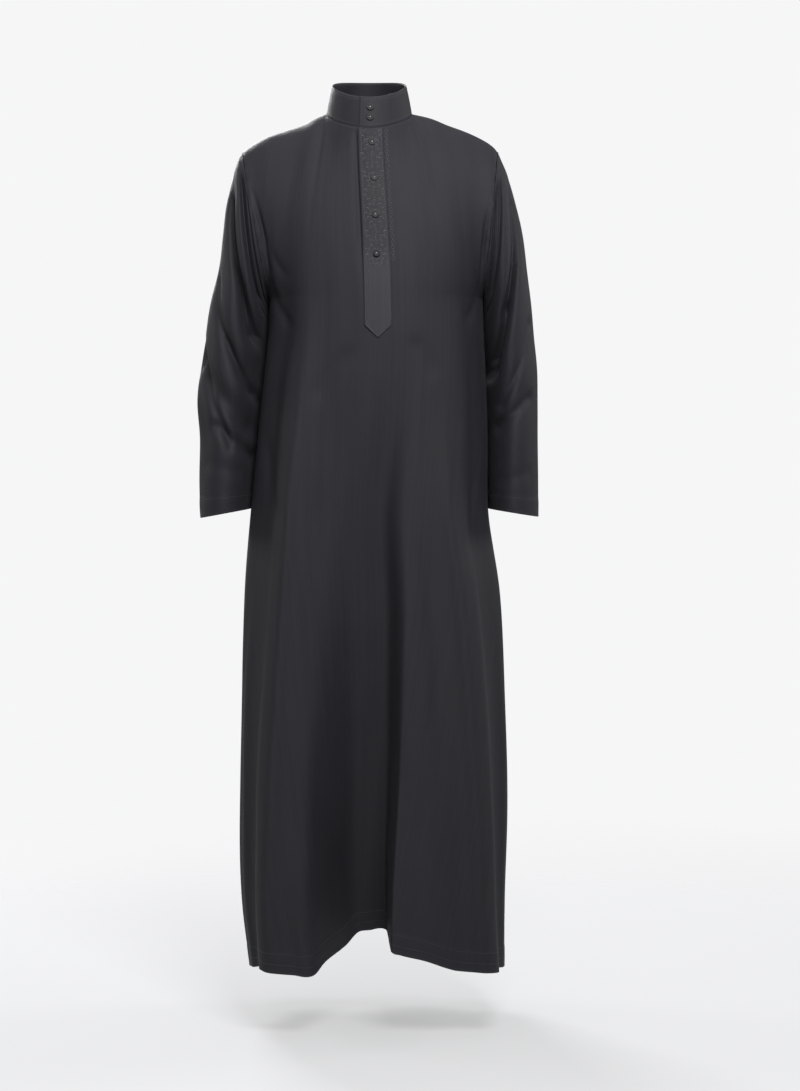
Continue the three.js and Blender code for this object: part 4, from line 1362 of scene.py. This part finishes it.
@dataclass
class Band:
    """A band of folded cloth that lies along the front panel.

    Attributes:
        front: The front panel.
        right: Share across the panel of its right edge.
        left: Share across the panel of its left edge.
        foot: Height of its lower end, or of its shoulders where it is pointed.
        point: Height of its point, or None.
        lift: How far it lies off the panel, or beneath it where negative.
        top_gap: Rows that it stops short of the neckline.
        curl: How far its right edge stands off the panel.
    """

    front: Panel
    right: float
    left: float
    foot: float
    point: float | None
    lift: float
    top_gap: float
    curl: float = 0.0

    def row_at(self, z: np.ndarray) -> np.ndarray:
        """Find the row of the front's centre line at a height."""
        rows = np.linspace(0, self.front.top(), 600)
        heights = CUT.panel(Half.FRONT, np.full_like(rows, CUT.slit_share), rows)[:, 2]
        return np.interp(z, heights, rows)

    def surface(self, share: np.ndarray, row: np.ndarray) -> np.ndarray:
        """Place points of its outer side, share from -1 at its right edge to 1 at its left."""
        middle, half = (self.left + self.right) / 2, (self.left - self.right) / 2
        narrow = np.ones_like(share)
        if self.point is not None:
            tip, foot = self.row_at(np.array([self.point, self.foot]))
            narrow = blend(0.06, 1.0, np.clip((row - tip) / (foot - tip), 0, 1))
        place, out = self.front.line(middle + share * half * narrow, row)
        edge = -0.35 * smooth((np.abs(share) - 0.9) / 0.1)
        edge = edge + self.curl * smooth((-share - 0.7) / 0.3) * narrow
        return place + out * (self.lift + edge)[..., None]

    def rows(self) -> np.ndarray:
        """Give its rows, from its foot or point up."""
        top = self.front.top() - self.top_gap
        start = self.row_at(np.array([self.foot]))[0]
        up = np.linspace(start, top, 110)
        if self.point is None:
            return up
        return joined(np.linspace(self.row_at(np.array([self.point]))[0], start, 12), up)

    def grid(self) -> Grid:
        """Lay the grid of the band."""
        share = joined(np.linspace(-1, 1, 25), (-0.97, -0.94, 0.94, 0.97))
        row, share = np.meshgrid(self.rows(), share, indexing="ij")
        return self.surface(share, row)

    def line(self, share: np.ndarray, row: np.ndarray) -> tuple[np.ndarray, np.ndarray]:
        """Place a line of points on the band, with the outward direction at each."""
        place = self.surface(share, row)
        across = self.surface(share + 0.02, row) - self.surface(share - 0.02, row)
        top = self.front.top()
        rise = self.surface(share, np.minimum(row + 0.02, top)) - self.surface(share, row - 0.02)
        return place, unit(np.cross(across, rise))


@dataclass
class Button:
    """A four-hole resin button with a raised rim, sewn on with a cross of thread.

    Attributes:
        name: Name of the piece.
        radius: Half its width.
        thick: Its thickness at the rim.
        well: Half the width of the sunk middle.
        well_deep: How deep the middle lies.
        hole: Half the width of a hole.
        hole_out: Distance of a hole from the centre.
    """

    name: str
    radius: float = 5.8
    thick: float = 2.6
    well: float = 3.5
    well_deep: float = 0.8
    hole: float = 0.75
    hole_out: float = 1.5

    def frame(self) -> tuple[np.ndarray, np.ndarray]:
        """Find its centre on the cloth and its three directions from the solid that it replaces."""
        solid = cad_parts[self.name]
        points = np.array([tuple(solid.matrix_world @ v.co) for v in solid.data.vertices]) / MM
        centre = points.mean(axis=0)
        lengths, axes = np.linalg.eigh(np.cov((points - centre).T))
        out = axes[:, 0] * -np.sign(axes[1, 0])
        along = (points - centre) @ out
        base = centre + out * (along.min() - along.mean())
        right = unit(np.cross(out, np.array([0.0, 0.0, 1.0])))
        return base, np.stack([right, np.cross(right, out) * -1, out])

    def height(self, x: np.ndarray, y: np.ndarray) -> np.ndarray:
        """Give the height of its upper side over its base."""
        r = np.hypot(x, y)
        edge = np.sqrt(np.clip(1 - np.clip((r - self.radius + 1.1) / 1.1, 0, 1) ** 2, 0, 1))
        top = self.thick * (0.35 + 0.65 * edge)
        top = top - self.well_deep * (1 - smooth((r - self.well + 0.6) / 0.9))
        for sx in (-1, 1):
            for sy in (-1, 1):
                away = np.hypot(x - sx * self.hole_out * 0.707, y - sy * self.hole_out * 0.707)
                top = top - 1.2 * (1 - smooth((away - self.hole + 0.18) / 0.3))
        return top

    def build(self) -> bpy.types.Object:
        """Make the button's mesh: its upper side as a disc of rings, and a rounded back."""
        around, innermost = 64, 0.12
        turn = np.arange(around) / around * 2 * np.pi
        inner = np.linspace(innermost, self.well - 0.6, 24)
        radii = np.concatenate([inner, np.linspace(self.well - 0.4, self.radius, 20)])
        x, y = radii[:, None] * np.cos(turn), radii[:, None] * np.sin(turn)
        top = np.stack([x, y, self.height(x, y)], axis=-1)
        under = np.array([
            (self.radius, 0.55), (self.radius - 0.5, 0.15), (self.radius - 1.4, 0.0), (innermost, 0.0)])
        r, z = under[:, :1], np.broadcast_to(under[:, 1:], (len(under), around))
        back = np.stack([r * np.cos(turn), r * np.sin(turn), z], axis=-1)
        rings = np.concatenate([top, back])
        base, axes = self.frame()
        points = rings.reshape(-1, 3) @ axes + base
        return new_object(self.name + "_dressed", points, ring_faces(len(rings), around))

    def thread(self) -> tuple[np.ndarray, np.ndarray]:
        """Place the two crossed threads that hold it on."""
        base, axes = self.frame()
        places, frames = [], []
        for turn in (45.0, 135.0):
            for shift in (-0.28, 0.28):
                along = math.cos(math.radians(turn)) * axes[0] + math.sin(math.radians(turn)) * axes[1]
                side = np.cross(axes[2], along)
                lift = self.thick - self.well_deep + 0.2 + (0.15 if turn > 90 else 0)
                places.append(base + axes[2] * lift + side * shift)
                frames.append(np.stack([along, side, axes[2]]))
        return np.array(places), np.array(frames)


@dataclass
class Stitching:
    """A row of machine stitches along a line.

    Attributes:
        name: Name of the piece.
        pitch: Distance between stitches.
        thread: Thickness of the thread. Real thread is 0.3 mm, drawn a little thicker so that it shows.
        places: The stitches' places, a run for each line.
        frames: The stitches' directions, a run for each line.
    """

    name: str
    pitch: float = 3.0
    thread: float = 0.5
    places: list[np.ndarray] = field(default_factory=list)
    frames: list[np.ndarray] = field(default_factory=list)

    def sew(self, line: np.ndarray, out: np.ndarray) -> None:
        """Add stitches along a line of points."""
        place, along, normal = walk(line, out, self.pitch)
        self.places.append(place)
        self.frames.append(frames_of(along, normal))

    def build(self) -> bpy.types.Object:
        """Join the stitches into one object."""
        template = thread_template(self.pitch * 0.8, self.thread / 2)
        return scatter(self.name, template, np.concatenate(self.places), np.concatenate(self.frames))


@dataclass
class Embroidery:
    """Satin stitch on the placket, tone on tone: two tendrils with leaves, small flowers and a row of rings.

    Places are given on a flat map: across from the placket's middle, and height, in mm.

    Attributes:
        band: The placket.
        half_width: Half the placket's width.
        top: Height of the upper end.
        low: Height of the lower end.
        flowers: Height of each flower, behind a button.
        thread: Thickness of the thread. Real thread is 0.3 mm, drawn a little thicker so that it shows.
        ends: Both ends of the stitches, a run for each call.
    """

    band: Band
    flowers: tuple[float, ...]
    half_width: float = 20.6
    top: float = -30.0
    low: float = -246.0
    thread: float = 0.62
    ends: list[np.ndarray] = field(default_factory=list)

    def stitch(self, start: np.ndarray, end: np.ndarray) -> None:
        """Add stitches from each start to each end."""
        self.ends.append(np.stack([start, end], axis=1))

    def satin(self, place: np.ndarray, along: np.ndarray, wide: np.ndarray, lean: float = 0.35) -> None:
        """Add stitches across a line, each leaning forward a little."""
        side = np.stack([-along[:, 1], along[:, 0]], axis=-1) + lean * along
        reach = unit(side) * wide[:, None] / 2
        self.stitch(place - reach, place + reach)

    def leaf(self, root: np.ndarray, turn: float, length: float, wide: float) -> None:
        """Add a leaf of satin stitches that starts at its root and points along a turn in radians."""
        share = np.linspace(0.08, 0.97, max(4, round(length / 0.62)))
        along = np.tile([math.cos(turn), math.sin(turn)], (len(share), 1))
        swell = wide * np.sin(np.pi * share**0.75) + 0.35
        self.satin(root + along * (share * length)[:, None], along, swell)

    def tendril(self, middle: float, swing: float, wave: float, phase: float) -> None:
        """Add a waving stem with leaves on both sides."""
        z = np.arange(self.top, self.low, -0.8)
        x = middle + swing * np.sin(2 * np.pi * z / wave + phase)
        line = np.stack([x, z], axis=-1)
        along = unit(np.gradient(line, axis=0))
        self.satin(line, along, np.full(len(z), 0.9), lean=1.4)
        for index in range(4, len(z) - 4, 9):
            heading = math.atan2(along[index, 1], along[index, 0])
            for sign in (-1, 1):
                size = 4.6 + 1.1 * math.sin(index * 0.9)
                self.leaf(line[index], heading + sign * 0.85, size, 1.9)

    def flower(self, z: float, petals: int = 10) -> None:
        """Add a round flower whose petals show past the button in its middle."""
        for index in range(petals):
            turn = 2 * math.pi * index / petals
            root = np.array([math.cos(turn), math.sin(turn)]) * 5.2 + np.array([0, z])
            self.leaf(root, turn, 4.2, 2.3)

    def sprigs(self) -> None:
        """Add an upright sprig between each two buttons, and seed leaves along both edges of the band."""
        for upper, lower in zip(self.flowers, (*self.flowers[1:], self.low - 12.0)):
            stem = np.arange(upper - 13.5, lower + 12.5, -0.8)
            if len(stem) < 4:
                continue
            line = np.stack([0.9 * np.sin(stem * 0.35), stem], axis=-1)
            self.satin(line, unit(np.gradient(line, axis=0)), np.full(len(stem), 0.9), lean=1.2)
            for index in range(2, len(stem) - 2, 5):
                for turn in (-0.75, math.pi + 0.75):
                    self.leaf(line[index], turn, 3.4 + 0.8 * math.sin(index), 1.5)
        for index, z in enumerate(np.arange(self.top - 3, self.low, -4.1)):
            for sign in (-1, 1):
                across = sign * (17.4 + 0.7 * math.sin(index * 2.1))
                heading = math.pi / 2 + sign * (0.9 + 0.5 * (index % 2))
                self.leaf(np.array([across, z]), heading, 2.6, 1.4)
                inner = sign * (5.9 + 0.5 * (index % 3))
                self.leaf(np.array([inner, z - 1.6]), -1.3 + 0.6 * (index % 4), 2.3, 1.2)

    def rings(self, across: float, pitch: float = 8.3, radius: float = 2.6) -> None:
        """Add a column of small rings with a stem between them."""
        turn = np.arange(20) / 20 * 2 * np.pi
        for z in np.arange(self.top - 6, self.low + 4, -pitch):
            along = np.stack([-np.sin(turn), np.cos(turn)], axis=-1)
            place = np.stack([across + radius * np.cos(turn), z + radius * np.sin(turn)], axis=-1)
            self.satin(place, along, np.full(len(turn), 1.25), lean=0.1)
            self.leaf(np.array([across, z - radius - 0.6]), -math.pi / 2, pitch - 2 * radius - 1.0, 1.1)

    def ground(self, flat: np.ndarray) -> tuple[np.ndarray, np.ndarray]:
        """Find places of the flat map on the placket or beside it, and the outward direction."""
        share, row = flat[:, 0] / self.half_width, self.band.row_at(flat[:, 1])
        on_band = self.band.line(np.clip(share, -0.97, 0.97), row)
        middle, half = (self.band.left + self.band.right) / 2, (self.band.left - self.band.right) / 2
        beside = self.band.front.line(middle + share * half, row)
        pick = (np.abs(share) < 1)[:, None]
        return np.where(pick, on_band[0], beside[0]), np.where(pick, on_band[1], beside[1])

    def build(self, name: str) -> bpy.types.Object:
        """Work every stitch onto the cloth as one object."""
        self.tendril(-10.5, 3.4, 31.0, 0.4)
        self.tendril(11.0, 3.4, 31.0, 3.2)
        self.rings(self.half_width + 5.4)
        self.sprigs()
        for z in self.flowers:
            self.flower(z)
        ends = np.concatenate(self.ends)
        start, out_start = self.ground(ends[:, 0])
        end, out_end = self.ground(ends[:, 1])
        run, out = end - start, unit(out_start + out_end)
        frames = frames_of(unit(run), out)
        frames[:, 0] *= np.linalg.norm(run, axis=-1, keepdims=True)
        template = thread_template(1.0, self.thread / 2, rings=4, sides=5, arch=0.9)
        return scatter(name, template, (start + end) / 2, frames)


@dataclass
class Buttonhole:
    """A buttonhole worked in close stitches round a slit.

    Attributes:
        length: Length of the slit.
        wide: Distance between its two rows of stitches.
    """

    length: float = 15.0
    wide: float = 1.9

    def ends(self, centre: np.ndarray, upright: bool) -> tuple[np.ndarray, np.ndarray]:
        """Place the stitches' two ends on a flat map, round a centre."""
        at = np.arange(-self.length / 2, self.length / 2, 0.55)
        inner, outer = np.full_like(at, 0.25), np.full_like(at, self.wide)
        start = np.concatenate([np.stack([inner, at], -1), np.stack([-inner, at], -1)])
        end = np.concatenate([np.stack([outer, at], -1), np.stack([-outer, at], -1)])
        for tip in (-1, 1):
            bar = np.linspace(-self.wide, self.wide, 7)
            start = np.concatenate([start, np.stack([bar, np.full(7, tip * self.length / 2)], -1)])
            end = np.concatenate([end, np.stack([bar, np.full(7, tip * (self.length / 2 + 1.2))], -1)])
        if not upright:
            start, end = start[:, ::-1], end[:, ::-1]
        return start + centre, end + centre


# The robe


@dataclass
class Robe:
    """The whole robe: builds each piece, dresses it and ties it to the frame.

    Attributes:
        suiting: Cloth of the panels and the sleeves.
        collar_suiting: Cloth of the collar.
        band_cloth_painted_light: Cloth of the placket's two bands, coloured lighter than the body cloth as a
            painted sheen and darker on its upper part as a painted shade.
        sewing: Thread of the machine stitches.
        embroidery_thread_painted_sheen: Thread of the embroidery, tone on tone, coloured lighter than the
            cloth as a painted sheen.
        resin: Resin of the buttons.
        button_thread_painted_highlight: Thread that holds the buttons, coloured pale so that each button's
            centre shows a painted highlight.
        front: The front panel.
        back: The back panel.
        sleeves: The two sleeves.
        collar: The collar.
        placket: The outer band of the placket.
        underlap: The band beneath it.
    """

    suiting: bpy.types.Material = field(init=False)
    collar_suiting: bpy.types.Material = field(init=False)
    band_cloth_painted_light: bpy.types.Material = field(init=False)
    sewing: bpy.types.Material = field(init=False)
    embroidery_thread_painted_sheen: bpy.types.Material = field(init=False)
    resin: bpy.types.Material = field(init=False)
    button_thread_painted_highlight: bpy.types.Material = field(init=False)
    front: Panel = field(init=False)
    back: Panel = field(init=False)
    sleeves: dict[Arm, Sleeve] = field(init=False)
    collar: Collar = field(default_factory=Collar)
    placket: Band = field(init=False)
    underlap: Band = field(init=False)

    def __post_init__(self) -> None:
        """Make the finishes and lay out the cut pieces."""
        self.suiting = WovenSuiting("woven_suiting").material()
        self.collar_suiting = WovenSuiting("interfaced_suiting", rough=0.58).material()
        # The bands' colours are lighter than the body cloth's: painted sheen. Above -0.2 m they are
        # darkened: painted shade.
        self.band_cloth_painted_light = WovenSuiting(
            "band_cloth_painted_sheen_and_shade", dark="27272c", light="3c3c43", painted_shade_above=-0.2, rough=0.54).material()
        self.sewing = SpunThread("spun_thread").material()
        # Real tone-on-tone thread, coloured lighter than the cloth: a painted sheen for the glow of its
        # satin stitches.
        self.embroidery_thread_painted_sheen = SpunThread(
            "rayon_embroidery_thread_painted_sheen", colour="3e3e45", light="64646d", rough=0.28).material()
        self.resin = CastResin("cast_resin").material()
        # Real thread, coloured pale grey: a painted highlight at the centre of each dark button.
        self.button_thread_painted_highlight = SpunThread(
            "button_twist_thread_painted_highlight", colour="77777e", light="b4b4bb", rough=0.3).material()
        self.front = self.front_panel()
        self.back = self.back_panel()
        waves = {Arm.RIGHT: Unevenness(31, 0.5, 60, 120), Arm.LEFT: Unevenness(47, 0.5, 60, 120)}
        self.sleeves = {
            Arm.RIGHT: Sleeve(Arm.RIGHT, RIGHT_SLEEVE, RIGHT_FOLDS, RIGHT_CREASES, waves[Arm.RIGHT]),
            Arm.LEFT: Sleeve(Arm.LEFT, LEFT_SLEEVE, LEFT_FOLDS, LEFT_CREASES, waves[Arm.LEFT]),
        }
        self.placket = Band(
            self.front, right=-0.062, left=0.093, foot=CUT.placket_foot, point=CUT.placket_point,
            lift=CUT.seam + CUT.band, top_gap=0.04, curl=1.7)
        self.underlap = Band(
            self.front, right=-0.04, left=0.058, foot=-330, point=None, lift=-(CUT.cloth + CUT.seam),
            top_gap=0.08)

    @staticmethod
    def front_panel() -> Panel:
        """Give the front panel, with columns close together at the step of the centre fold."""
        columns = joined(
            (-1, -0.996, -0.99, -0.982, 0.982, 0.99, 0.996, 1), np.linspace(-0.975, -0.35, 44),
            np.linspace(-0.34, 0.04, 34), np.linspace(0.045, 0.13, 22), np.linspace(0.14, 0.32, 16),
            np.linspace(0.335, 0.975, 44), (-CUT.slit_share, CUT.slit_share))
        waves = (Unevenness(11, 0.7, 70, 260), Unevenness(12, 0.25, 26, 180))
        return Panel(Half.FRONT, FRONT_CREASES, columns, waves)

    @staticmethod
    def back_panel() -> Panel:
        """Give the back panel."""
        columns = joined((-1, -0.996, -0.99, -0.982, 0.982, 0.99, 0.996, 1), np.linspace(-0.975, 0.975, 140))
        waves = (Unevenness(21, 0.8, 80, 260), Unevenness(22, 0.25, 26, 180))
        return Panel(Half.BACK, BACK_CREASES, columns, waves)

    def build_panels(self) -> None:
        """Build the front, with the slit of its opening, and the back."""
        grid = self.front.grid()
        slit = np.zeros((grid.shape[0] - 1, grid.shape[1] - 1), bool)
        column = int(np.argmin(np.abs(self.front.columns + CUT.slit_share)))
        slit[grid[:-1, column, 2] > CUT.slit_foot, column] = True
        middle = int(np.argmin(np.abs(self.front.columns)))
        wall = Wall("front_cloth", grid, CUT.cloth, hold=self.front.hold, cut_out=slit, middle=middle)
        made = Piece(wall.build(), Slot.SUITING, self.suiting, ("front",)).settle()
        grid = self.back.grid()
        wall = Wall("back_cloth", grid, CUT.cloth, hold=self.back.hold, middle=grid.shape[1] // 2)
        made = Piece(wall.build(), Slot.SUITING, self.suiting, ("back",)).settle()

    def build_sleeves(self) -> None:
        """Build both sleeves."""
        for arm, sleeve in self.sleeves.items():
            name = "sleeve_" + arm.name.lower()
            wall = Wall(name + "_cloth", sleeve.grid(), CUT.cloth, closed=True, hold=sleeve.hold)
            made = Piece(wall.build(), Slot.SUITING, self.suiting, (name,)).settle()

    def build_collar(self) -> None:
        """Build the collar."""
        made = Wall("collar_cloth", self.collar.grid(), CUT.stiffened).build()
        made = Piece(made, Slot.COLLAR, self.collar_suiting, ("collar",)).settle()

    def build_placket(self) -> None:
        """Build the outer band of the placket and the band beneath it."""
        made = Wall("placket_cloth", self.placket.grid(), CUT.band, middle=14).build()
        made = Piece(made, Slot.PLACKET, self.band_cloth_painted_light, ("placket",)).settle()
        made = Wall("placket_under_cloth", self.underlap.grid(), CUT.band, middle=14).build()
        made = Piece(made, Slot.PLACKET, self.band_cloth_painted_light, ("placket_under",)).settle()

    def build_buttons(self) -> None:
        """Build the six buttons and the thread that holds them."""
        names = ["button_collar_top", "button_collar_low"] + [f"button_placket_{i}" for i in range(1, 5)]
        places, frames = [], []
        for name in names:
            button = Button(name)
            Piece(button.build(), Slot.BUTTON, self.resin, (name,)).settle()
            place, axes = button.thread()
            places.append(place)
            frames.append(axes)
        template = thread_template(3.2, 0.42, rings=7, arch=1.2)
        made = scatter("button_thread", template, np.concatenate(places), np.concatenate(frames))
        Piece(made, Slot.BUTTON, self.button_thread_painted_highlight).settle()

    def embroider(self) -> None:
        """Embroider the placket and work its buttonholes."""
        heights = (-51.0, -107.5, -166.0, -227.0)
        work = Embroidery(self.placket, heights)
        for z in heights:
            work.stitch(*Buttonhole().ends(np.array([0.0, z - 1.5]), upright=True))
        Piece(work.build("placket_embroidery"), Slot.PLACKET, self.embroidery_thread_painted_sheen).settle()

    def sew(self) -> None:
        """Sew the hems, cuffs, collar and placket."""
        sewn = Stitching("hem_stitches")
        for panel in (self.front, self.back):
            side = np.linspace(-0.997, 0.997, 700)
            for above in (14.0, panel.hem_deep - STITCH_INSET):
                sewn.sew(*panel.line(side, np.full_like(side, above / panel.step())))
        Piece(sewn.build(), Slot.SUITING, self.sewing).settle()
        sewn = Stitching("cuff_stitches")
        for sleeve in self.sleeves.values():
            turn = np.linspace(195, 555, 200)
            along = 1 - (sleeve.cuff_deep - STITCH_INSET) / sleeve.length
            sewn.sew(*sleeve.line(np.full_like(turn, along), turn))
        Piece(sewn.build(), Slot.SUITING, self.sewing).settle()
        sewn = Stitching("collar_stitches", pitch=2.6)
        turn = np.linspace(self.collar.start + 3, self.collar.start + 357, 300)
        for up in (0.1, 0.9):
            sewn.sew(*self.collar.line(turn, np.full_like(turn, up)))
        up = np.linspace(0.1, 0.9, 30)
        sewn.sew(*self.collar.line(np.full_like(up, self.collar.start + 3), up))
        Piece(sewn.build(), Slot.COLLAR, self.sewing).settle()
        sewn = Stitching("placket_stitches", pitch=2.6)
        rows = self.placket.rows()
        tip, foot = self.placket.row_at(np.array([CUT.placket_point + 3.5, CUT.placket_foot]))
        down = np.linspace(foot, tip, 20)
        edge = np.linspace(foot, rows[-1] - 0.05, 200)
        for share in (-0.8, 0.8):
            sewn.sew(*self.placket.line(np.full_like(edge, share), edge))
            sewn.sew(*self.placket.line(np.full_like(down, share * 0.98), down))
        Piece(sewn.build(), Slot.PLACKET, self.sewing).settle()

    def build(self) -> None:
        """Build every piece in order."""
        self.build_panels()
        self.build_sleeves()
        self.build_collar()
        self.build_placket()
        self.build_buttons()
        self.embroider()
        self.sew()


# The studio


@dataclass(frozen=True)
class SoftBox:
    """A large soft light.

    Attributes:
        name: Name of the light.
        place: Where it hangs, in metres.
        aim: The point it faces.
        width: Its width and height.
        watts: Its power.
    """

    name: str
    place: tuple[float, float, float]
    aim: tuple[float, float, float]
    width: float
    watts: float

    def hang(self) -> None:
        """Make the light and turn it to its aim."""
        lamp = bpy.data.lights.new(self.name, "AREA")
        lamp.size = self.width
        lamp.energy = self.watts
        made = bpy.data.objects.new(self.name, lamp)
        made.location = self.place
        off = np.array(self.aim) - np.array(self.place)
        lean = math.atan2(math.hypot(off[0], off[1]), -off[2])
        made.rotation_euler = (lean, 0, math.atan2(off[0], -off[1]) + math.pi)
        bpy.context.scene.collection.objects.link(made)


@dataclass
class Studio:
    """A plain pale floor, soft light and the camera.

    Attributes:
        floor_z: Height of the floor, in metres.
        pale: Colour of the room.
        paint: Colour of the floor, which the lamps light up to about the room's.
        lens: Focal length on a 36 mm sensor.
        tilt: Degrees that the camera looks down.
        eye: Place of the camera, in metres.
        room_light: How bright the room is on the robe, for 1 as it looks behind it.
    """

    floor_z: float = -1.443
    pale: str = "f6f6f7"
    paint: str = "d6d6d8"
    lens: float = 82.53
    tilt: float = 1.764
    eye: tuple[float, float, float] = (0.049, -4.0, -0.560)
    room_light: float = 0.17

    def build(self) -> None:
        """Build the floor, the room's light, the lamps and the camera."""
        self.floor()
        self.room()
        middle = (0.0, 0.0, -0.6)
        for lamp in (
            SoftBox("key", (0.5, -2.2, 1.35), (0.0, 0.0, 0.0), 1.0, 65),
            SoftBox("fill", (-1.1, -4.2, 0.6), (0.0, 0.0, 0.0), 1.8, 22),
            SoftBox("top", (0.0, 0.3, 2.4), middle, 2.0, 20),
            SoftBox("behind", (-1.1, 2.9, 1.2), (0.0, 0.0, -0.4), 1.2, 105),
            SoftBox("right_side", (-3.2, 1.2, 0.8), middle, 1.2, 24),
            SoftBox("left_side", (3.2, 1.1, 0.8), middle, 1.2, 27),
        ):
            lamp.hang()
        lens = bpy.data.cameras.new("view")
        lens.lens = self.lens
        lens.sensor_width = 36.0
        camera = bpy.data.objects.new("view", lens)
        camera.location = self.eye
        camera.rotation_euler = (math.radians(90 - self.tilt), 0, 0)
        bpy.context.scene.collection.objects.link(camera)
        bpy.context.scene.camera = camera
        bpy.context.scene.view_settings.view_transform = "Standard"

    def floor(self) -> None:
        """Lay a wide round floor that fades into the pale room."""
        turn = np.linspace(0, 2 * np.pi, 97)[:-1]
        radii = np.array([[0], [0.6], [1.5], [3]]) / MM
        level = np.full((len(radii), len(turn)), self.floor_z / MM)
        rings = np.stack([radii * np.cos(turn), radii * np.sin(turn), level], axis=-1)
        made = new_object("studio_floor", rings.reshape(-1, 3), ring_faces(len(radii), len(turn)))
        material = bpy.data.materials.new("matt_floor_paint")
        material.use_nodes = True
        tree = material.node_tree
        tree.nodes.clear()
        paint = add_node(tree, "ShaderNodeBsdfDiffuse", {"Color": linear(self.paint)})
        clear = add_node(tree, "ShaderNodeBsdfTransparent")
        place = add_node(tree, "ShaderNodeTexCoord").outputs["Object"]
        away = add_node(tree, "ShaderNodeVectorMath", links={0: place}, operation="LENGTH").outputs["Value"]
        fade = {1: 1.45, 2: 2.9, 3: 0.5, 4: 1.0}
        share = map_range(tree, away, fade, interpolation_type="SMOOTHSTEP")
        links = {0: share, 1: paint.outputs[0], 2: clear.outputs[0]}
        mixed = add_node(tree, "ShaderNodeMixShader", links=links)
        add_node(tree, "ShaderNodeOutputMaterial", links={"Surface": mixed.outputs[0]})
        made.data.materials.append(material)
        made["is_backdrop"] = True

    def room(self) -> None:
        """Light the pale room, dimmer on the robe than it looks behind it."""
        world = bpy.data.worlds.new("pale_room")
        world.use_nodes = True
        tree = world.node_tree
        tree.nodes.clear()
        pale = linear(self.pale)
        seen = add_node(tree, "ShaderNodeBackground", {"Color": pale, "Strength": 1.0})
        light = add_node(tree, "ShaderNodeBackground", {"Color": pale, "Strength": self.room_light})
        ray = add_node(tree, "ShaderNodeLightPath").outputs["Is Camera Ray"]
        links = {0: ray, 1: light.outputs[0], 2: seen.outputs[0]}
        mixed = add_node(tree, "ShaderNodeMixShader", links=links)
        add_node(tree, "ShaderNodeOutputWorld", links={"Surface": mixed.outputs[0]})
        bpy.context.scene.world = world


def main() -> None:
    """Build the studio and the robe."""
    logging.basicConfig(level=logging.INFO, format="%(message)s")
    Studio().build()
    Robe().build()
    sizes = {"cad": CAD_BOX, "visual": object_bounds()}
    json.dumps(sizes, default=lambda value: [float(v) for v in value])


if __name__ == "__main__":
    main()
